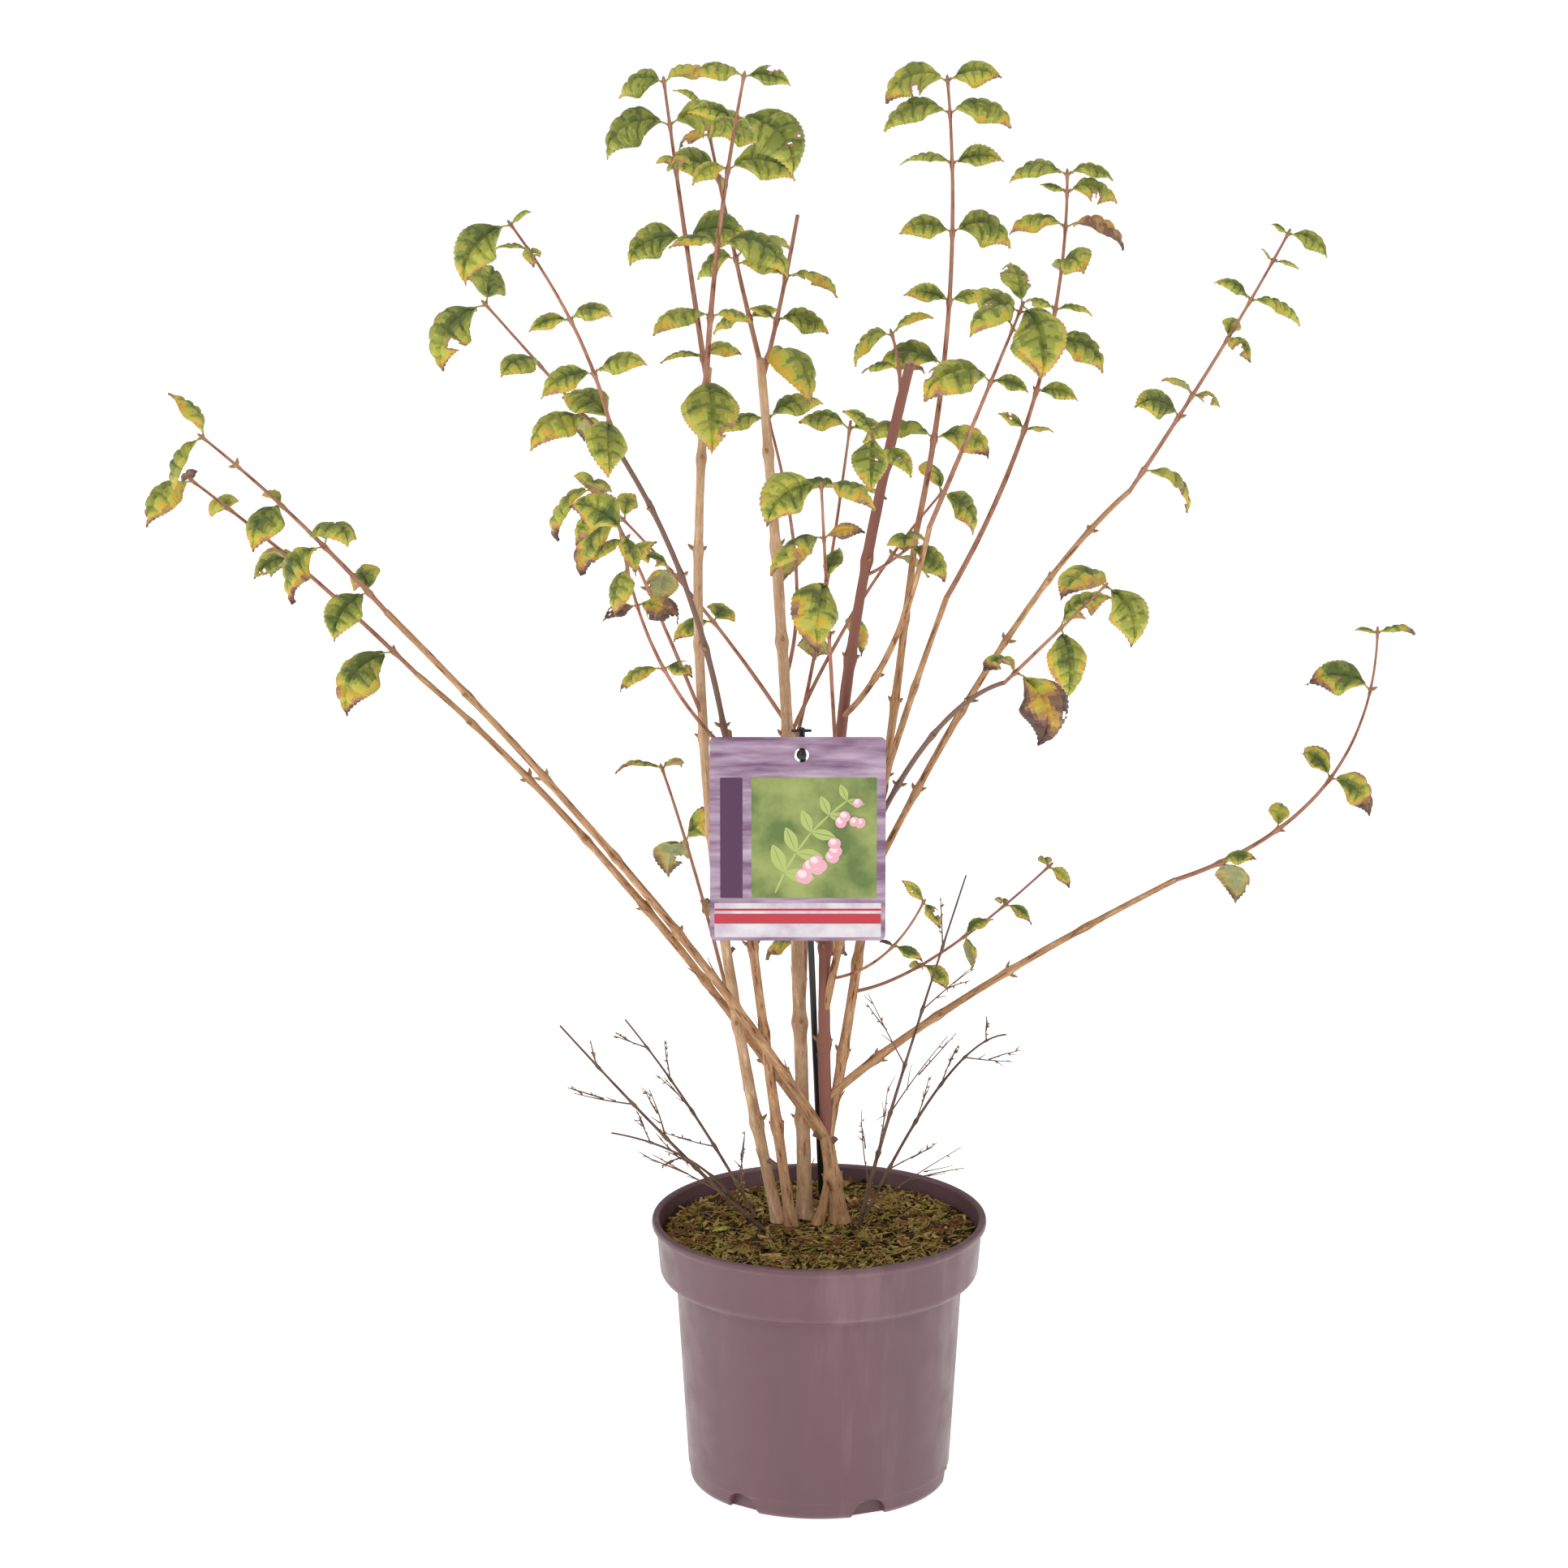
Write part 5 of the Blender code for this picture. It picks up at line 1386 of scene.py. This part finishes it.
def make_label_print(values):
    """A generic print: a green panel with one leafy sprig and round buds, a plum stripe and a red hem."""
    inks = [print_finish("ink_white", values.white, values.lilac, 40.0),
            print_finish("ink_panel", values.panel, values.panel_light, 34.0),
            print_finish("ink_sprig", values.sprig), print_finish("ink_pink", values.pink),
            print_finish("ink_blush", values.blush), print_finish("ink_plum", values.plum),
            print_finish("ink_hem", values.hem)]
    white, panel, sprig, pink, blush, plum, hem = range(7)
    page = Print()
    page.block(3, 2.5, 112, 24, 0, white)
    page.block(28, 30, 84, 84, 0, panel)
    page.block(7, 30, 15, 84, 0, plum)
    page.block(3, 12, 112, 7, 1, hem)
    page.block(3, 21, 112, 1.6, 1, hem, 0.4)
    stalk = [(44, 34), (50, 48), (58, 62), (68, 76), (80, 88), (92, 98)]
    page.strand(stalk, 1.5, 1, sprig)
    for index, (x, y) in enumerate(stalk[1:]):
        for side in (-1, 1):
            turn = 50 + 62 * side
            reach = 21 - 2.2 * index
            dx = math.cos(math.radians(turn)) * reach / 2
            dy = math.sin(math.radians(turn)) * reach / 2
            layer = 1.6 + 0.3 * (side > 0) + 0.05 * index
            page.round(x + dx, y + dy, reach, reach * 0.46, turn, layer, sprig, 0.8)
            page.round(x + dx, y + dy, reach * 0.86, 0.5, turn, 2.4, panel)
    rng = random.Random(5)
    for index in range(13):
        share = index / 12
        x = 62 + 42 * share + rng.uniform(-5, 5)
        y = 44 + 52 * share + rng.uniform(-9, 5)
        girth = 10.5 - 4.5 * share
        layer = 3 + index * 0.6
        page.round(x, y, girth * 1.12, girth, rng.uniform(0, 180), layer, pink)
        page.round(x - girth * 0.12, y + girth * 0.14, girth * 0.6, girth * 0.5, rng.uniform(0, 180),
                   layer + 0.3, blush)
    piece = mesh_piece("label_print", page.bm, inks, smooth=False)
    thick = piece.modifiers.new("Thickness", "SOLIDIFY")
    thick.thickness = 0.04 * MM
    thick.offset = -1.0
    return piece


def make_stage():
    """A plain pale floor, an even surround, soft lights and the camera."""
    values = looks("stage")
    bm = new_bmesh()
    bmesh.ops.create_circle(bm, cap_ends=True, segments=64, radius=values.floor_radius)
    mesh = bpy.data.meshes.new("floor")
    bm.to_mesh(mesh)
    bm.free()
    paper, _, shader = finish("stage_paper", values.floor, 0.9, 0.1)
    shader.inputs["Emission Color"].default_value = opaque(values.floor)
    shader.inputs["Emission Strength"].default_value = values.glow
    mesh.materials.append(paper)
    floor_sheet = bpy.data.objects.new("floor", mesh)
    bpy.context.scene.collection.objects.link(floor_sheet)

    world = bpy.data.worlds.new("surround")
    world.use_nodes = True
    background = world.node_tree.nodes["Background"]
    background.inputs["Color"].default_value = (1.0, 0.99, 0.985, 1.0)
    background.inputs["Strength"].default_value = values.world
    bpy.context.scene.world = world

    for name, place, wide, power in (("key", (-1.1, -3.2, 2.9), 2.4, values.key),
                                     ("fill_left", (-3.0, -0.6, 1.5), 2.2, values.fill),
                                     ("fill_right", (3.0, -0.9, 1.7), 2.2, values.fill),
                                     ("top", (0.2, 0.9, 3.2), 2.0, values.fill)):
        lamp = bpy.data.lights.new(name, "AREA")
        lamp.shape = "SQUARE"
        lamp.size = wide
        lamp.energy = power
        lamp_object = bpy.data.objects.new(name, lamp)
        lamp_object.location = place
        aim = Vector(values.camera_target) - Vector(place)
        lamp_object.rotation_euler = aim.to_track_quat("-Z", "Y").to_euler()
        bpy.context.scene.collection.objects.link(lamp_object)

    target = Vector(values.camera_target)
    down = values.camera_height
    eye = target + Vector((0, -math.cos(down), math.sin(down))) * values.camera_distance
    camera = bpy.data.cameras.new("camera")
    camera.lens = values.camera_lens
    camera.sensor_width = 36.0
    camera_object = bpy.data.objects.new("camera", camera)
    camera_object.location = eye
    camera_object.rotation_euler = (target - eye).to_track_quat("-Z", "Y").to_euler()
    bpy.context.scene.collection.objects.link(camera_object)
    bpy.context.scene.camera = camera_object
    bpy.context.scene.view_settings.view_transform = "Standard"


class DEUTZIA_OT_pot(Operator):
    """Turn the pot and cut its notches"""
    bl_idname = "deutzia.pot"
    bl_label = "Pot"

    def execute(self, context):
        make_pot()
        return {"FINISHED"}


class DEUTZIA_OT_soil(Operator):
    """Fill the pot with mulch, flakes and fibres"""
    bl_idname = "deutzia.soil"
    bl_label = "Soil"

    def execute(self, context):
        make_soil()
        make_mulch()
        make_fibres()
        make_fallen_leaf()
        return {"FINISHED"}


class DEUTZIA_OT_label(Operator):
    """Make the stick, the card and its print"""
    bl_idname = "deutzia.label"
    bl_label = "Label"

    def execute(self, context):
        make_label_stick()
        make_label_card()
        return {"FINISHED"}


class DEUTZIA_OT_canes(Operator):
    """Bark the trunk, the canes and the boughs"""
    bl_idname = "deutzia.canes"
    bl_label = "Canes and boughs"

    def execute(self, context):
        growth = Growth()
        make_canes(growth)
        make_cane_extras(growth)
        return {"FINISHED"}


class DEUTZIA_OT_shoots(Operator):
    """Grow the leafy shoots"""
    bl_idname = "deutzia.shoots"
    bl_label = "Leafy shoots"

    def execute(self, context):
        make_shoots(Growth())
        return {"FINISHED"}


class DEUTZIA_OT_sprays(Operator):
    """Grow the dry sprays"""
    bl_idname = "deutzia.sprays"
    bl_label = "Dry sprays"

    def execute(self, context):
        make_sprays(Growth())
        return {"FINISHED"}


class DEUTZIA_OT_stage(Operator):
    """Set up the floor, the lights and the camera"""
    bl_idname = "deutzia.stage"
    bl_label = "Stage"

    def execute(self, context):
        make_stage()
        return {"FINISHED"}


OPERATORS = (DEUTZIA_OT_pot, DEUTZIA_OT_soil, DEUTZIA_OT_label, DEUTZIA_OT_canes, DEUTZIA_OT_shoots,
             DEUTZIA_OT_sprays, DEUTZIA_OT_stage)
GROUP_CLASSES = {"pot": DeutziaPotLooks, "soil": DeutziaSoilLooks, "bark": DeutziaBarkLooks,
                 "leaf": DeutziaLeafLooks, "label": DeutziaLabelLooks, "stage": DeutziaStageLooks}


class DEUTZIA_PT_panel(Panel):
    """The makers of the plant, with the values that each one reads"""
    bl_idname = "DEUTZIA_PT_panel"
    bl_label = "Potted deutzia"
    bl_space_type = "VIEW_3D"
    bl_region_type = "UI"
    bl_category = "Deutzia"

    def draw(self, context):
        for operator in OPERATORS:
            self.layout.operator(operator.bl_idname)
        for group in GROUP_CLASSES:
            box = self.layout.box()
            values = looks(group)
            box.label(text=group.title())
            for name in values.__annotations__:
                box.prop(values, name)


def register():
    for group, made in GROUP_CLASSES.items():
        bpy.utils.register_class(made)
        setattr(bpy.types.Scene, "deutzia_" + group, PointerProperty(type=made))
    for made in (*OPERATORS, DEUTZIA_PT_panel):
        bpy.utils.register_class(made)


def unregister():
    for made in (DEUTZIA_PT_panel, *reversed(OPERATORS)):
        bpy.utils.unregister_class(made)
    for group, made in GROUP_CLASSES.items():
        delattr(bpy.types.Scene, "deutzia_" + group)
        bpy.utils.unregister_class(made)


def main():
    """Make every piece."""
    register()
    bpy.ops.deutzia.pot()
    bpy.ops.deutzia.soil()
    bpy.ops.deutzia.label()
    bpy.ops.deutzia.canes()
    bpy.ops.deutzia.shoots()
    bpy.ops.deutzia.sprays()
    bpy.ops.deutzia.stage()


if __name__ == "__main__":
    main()
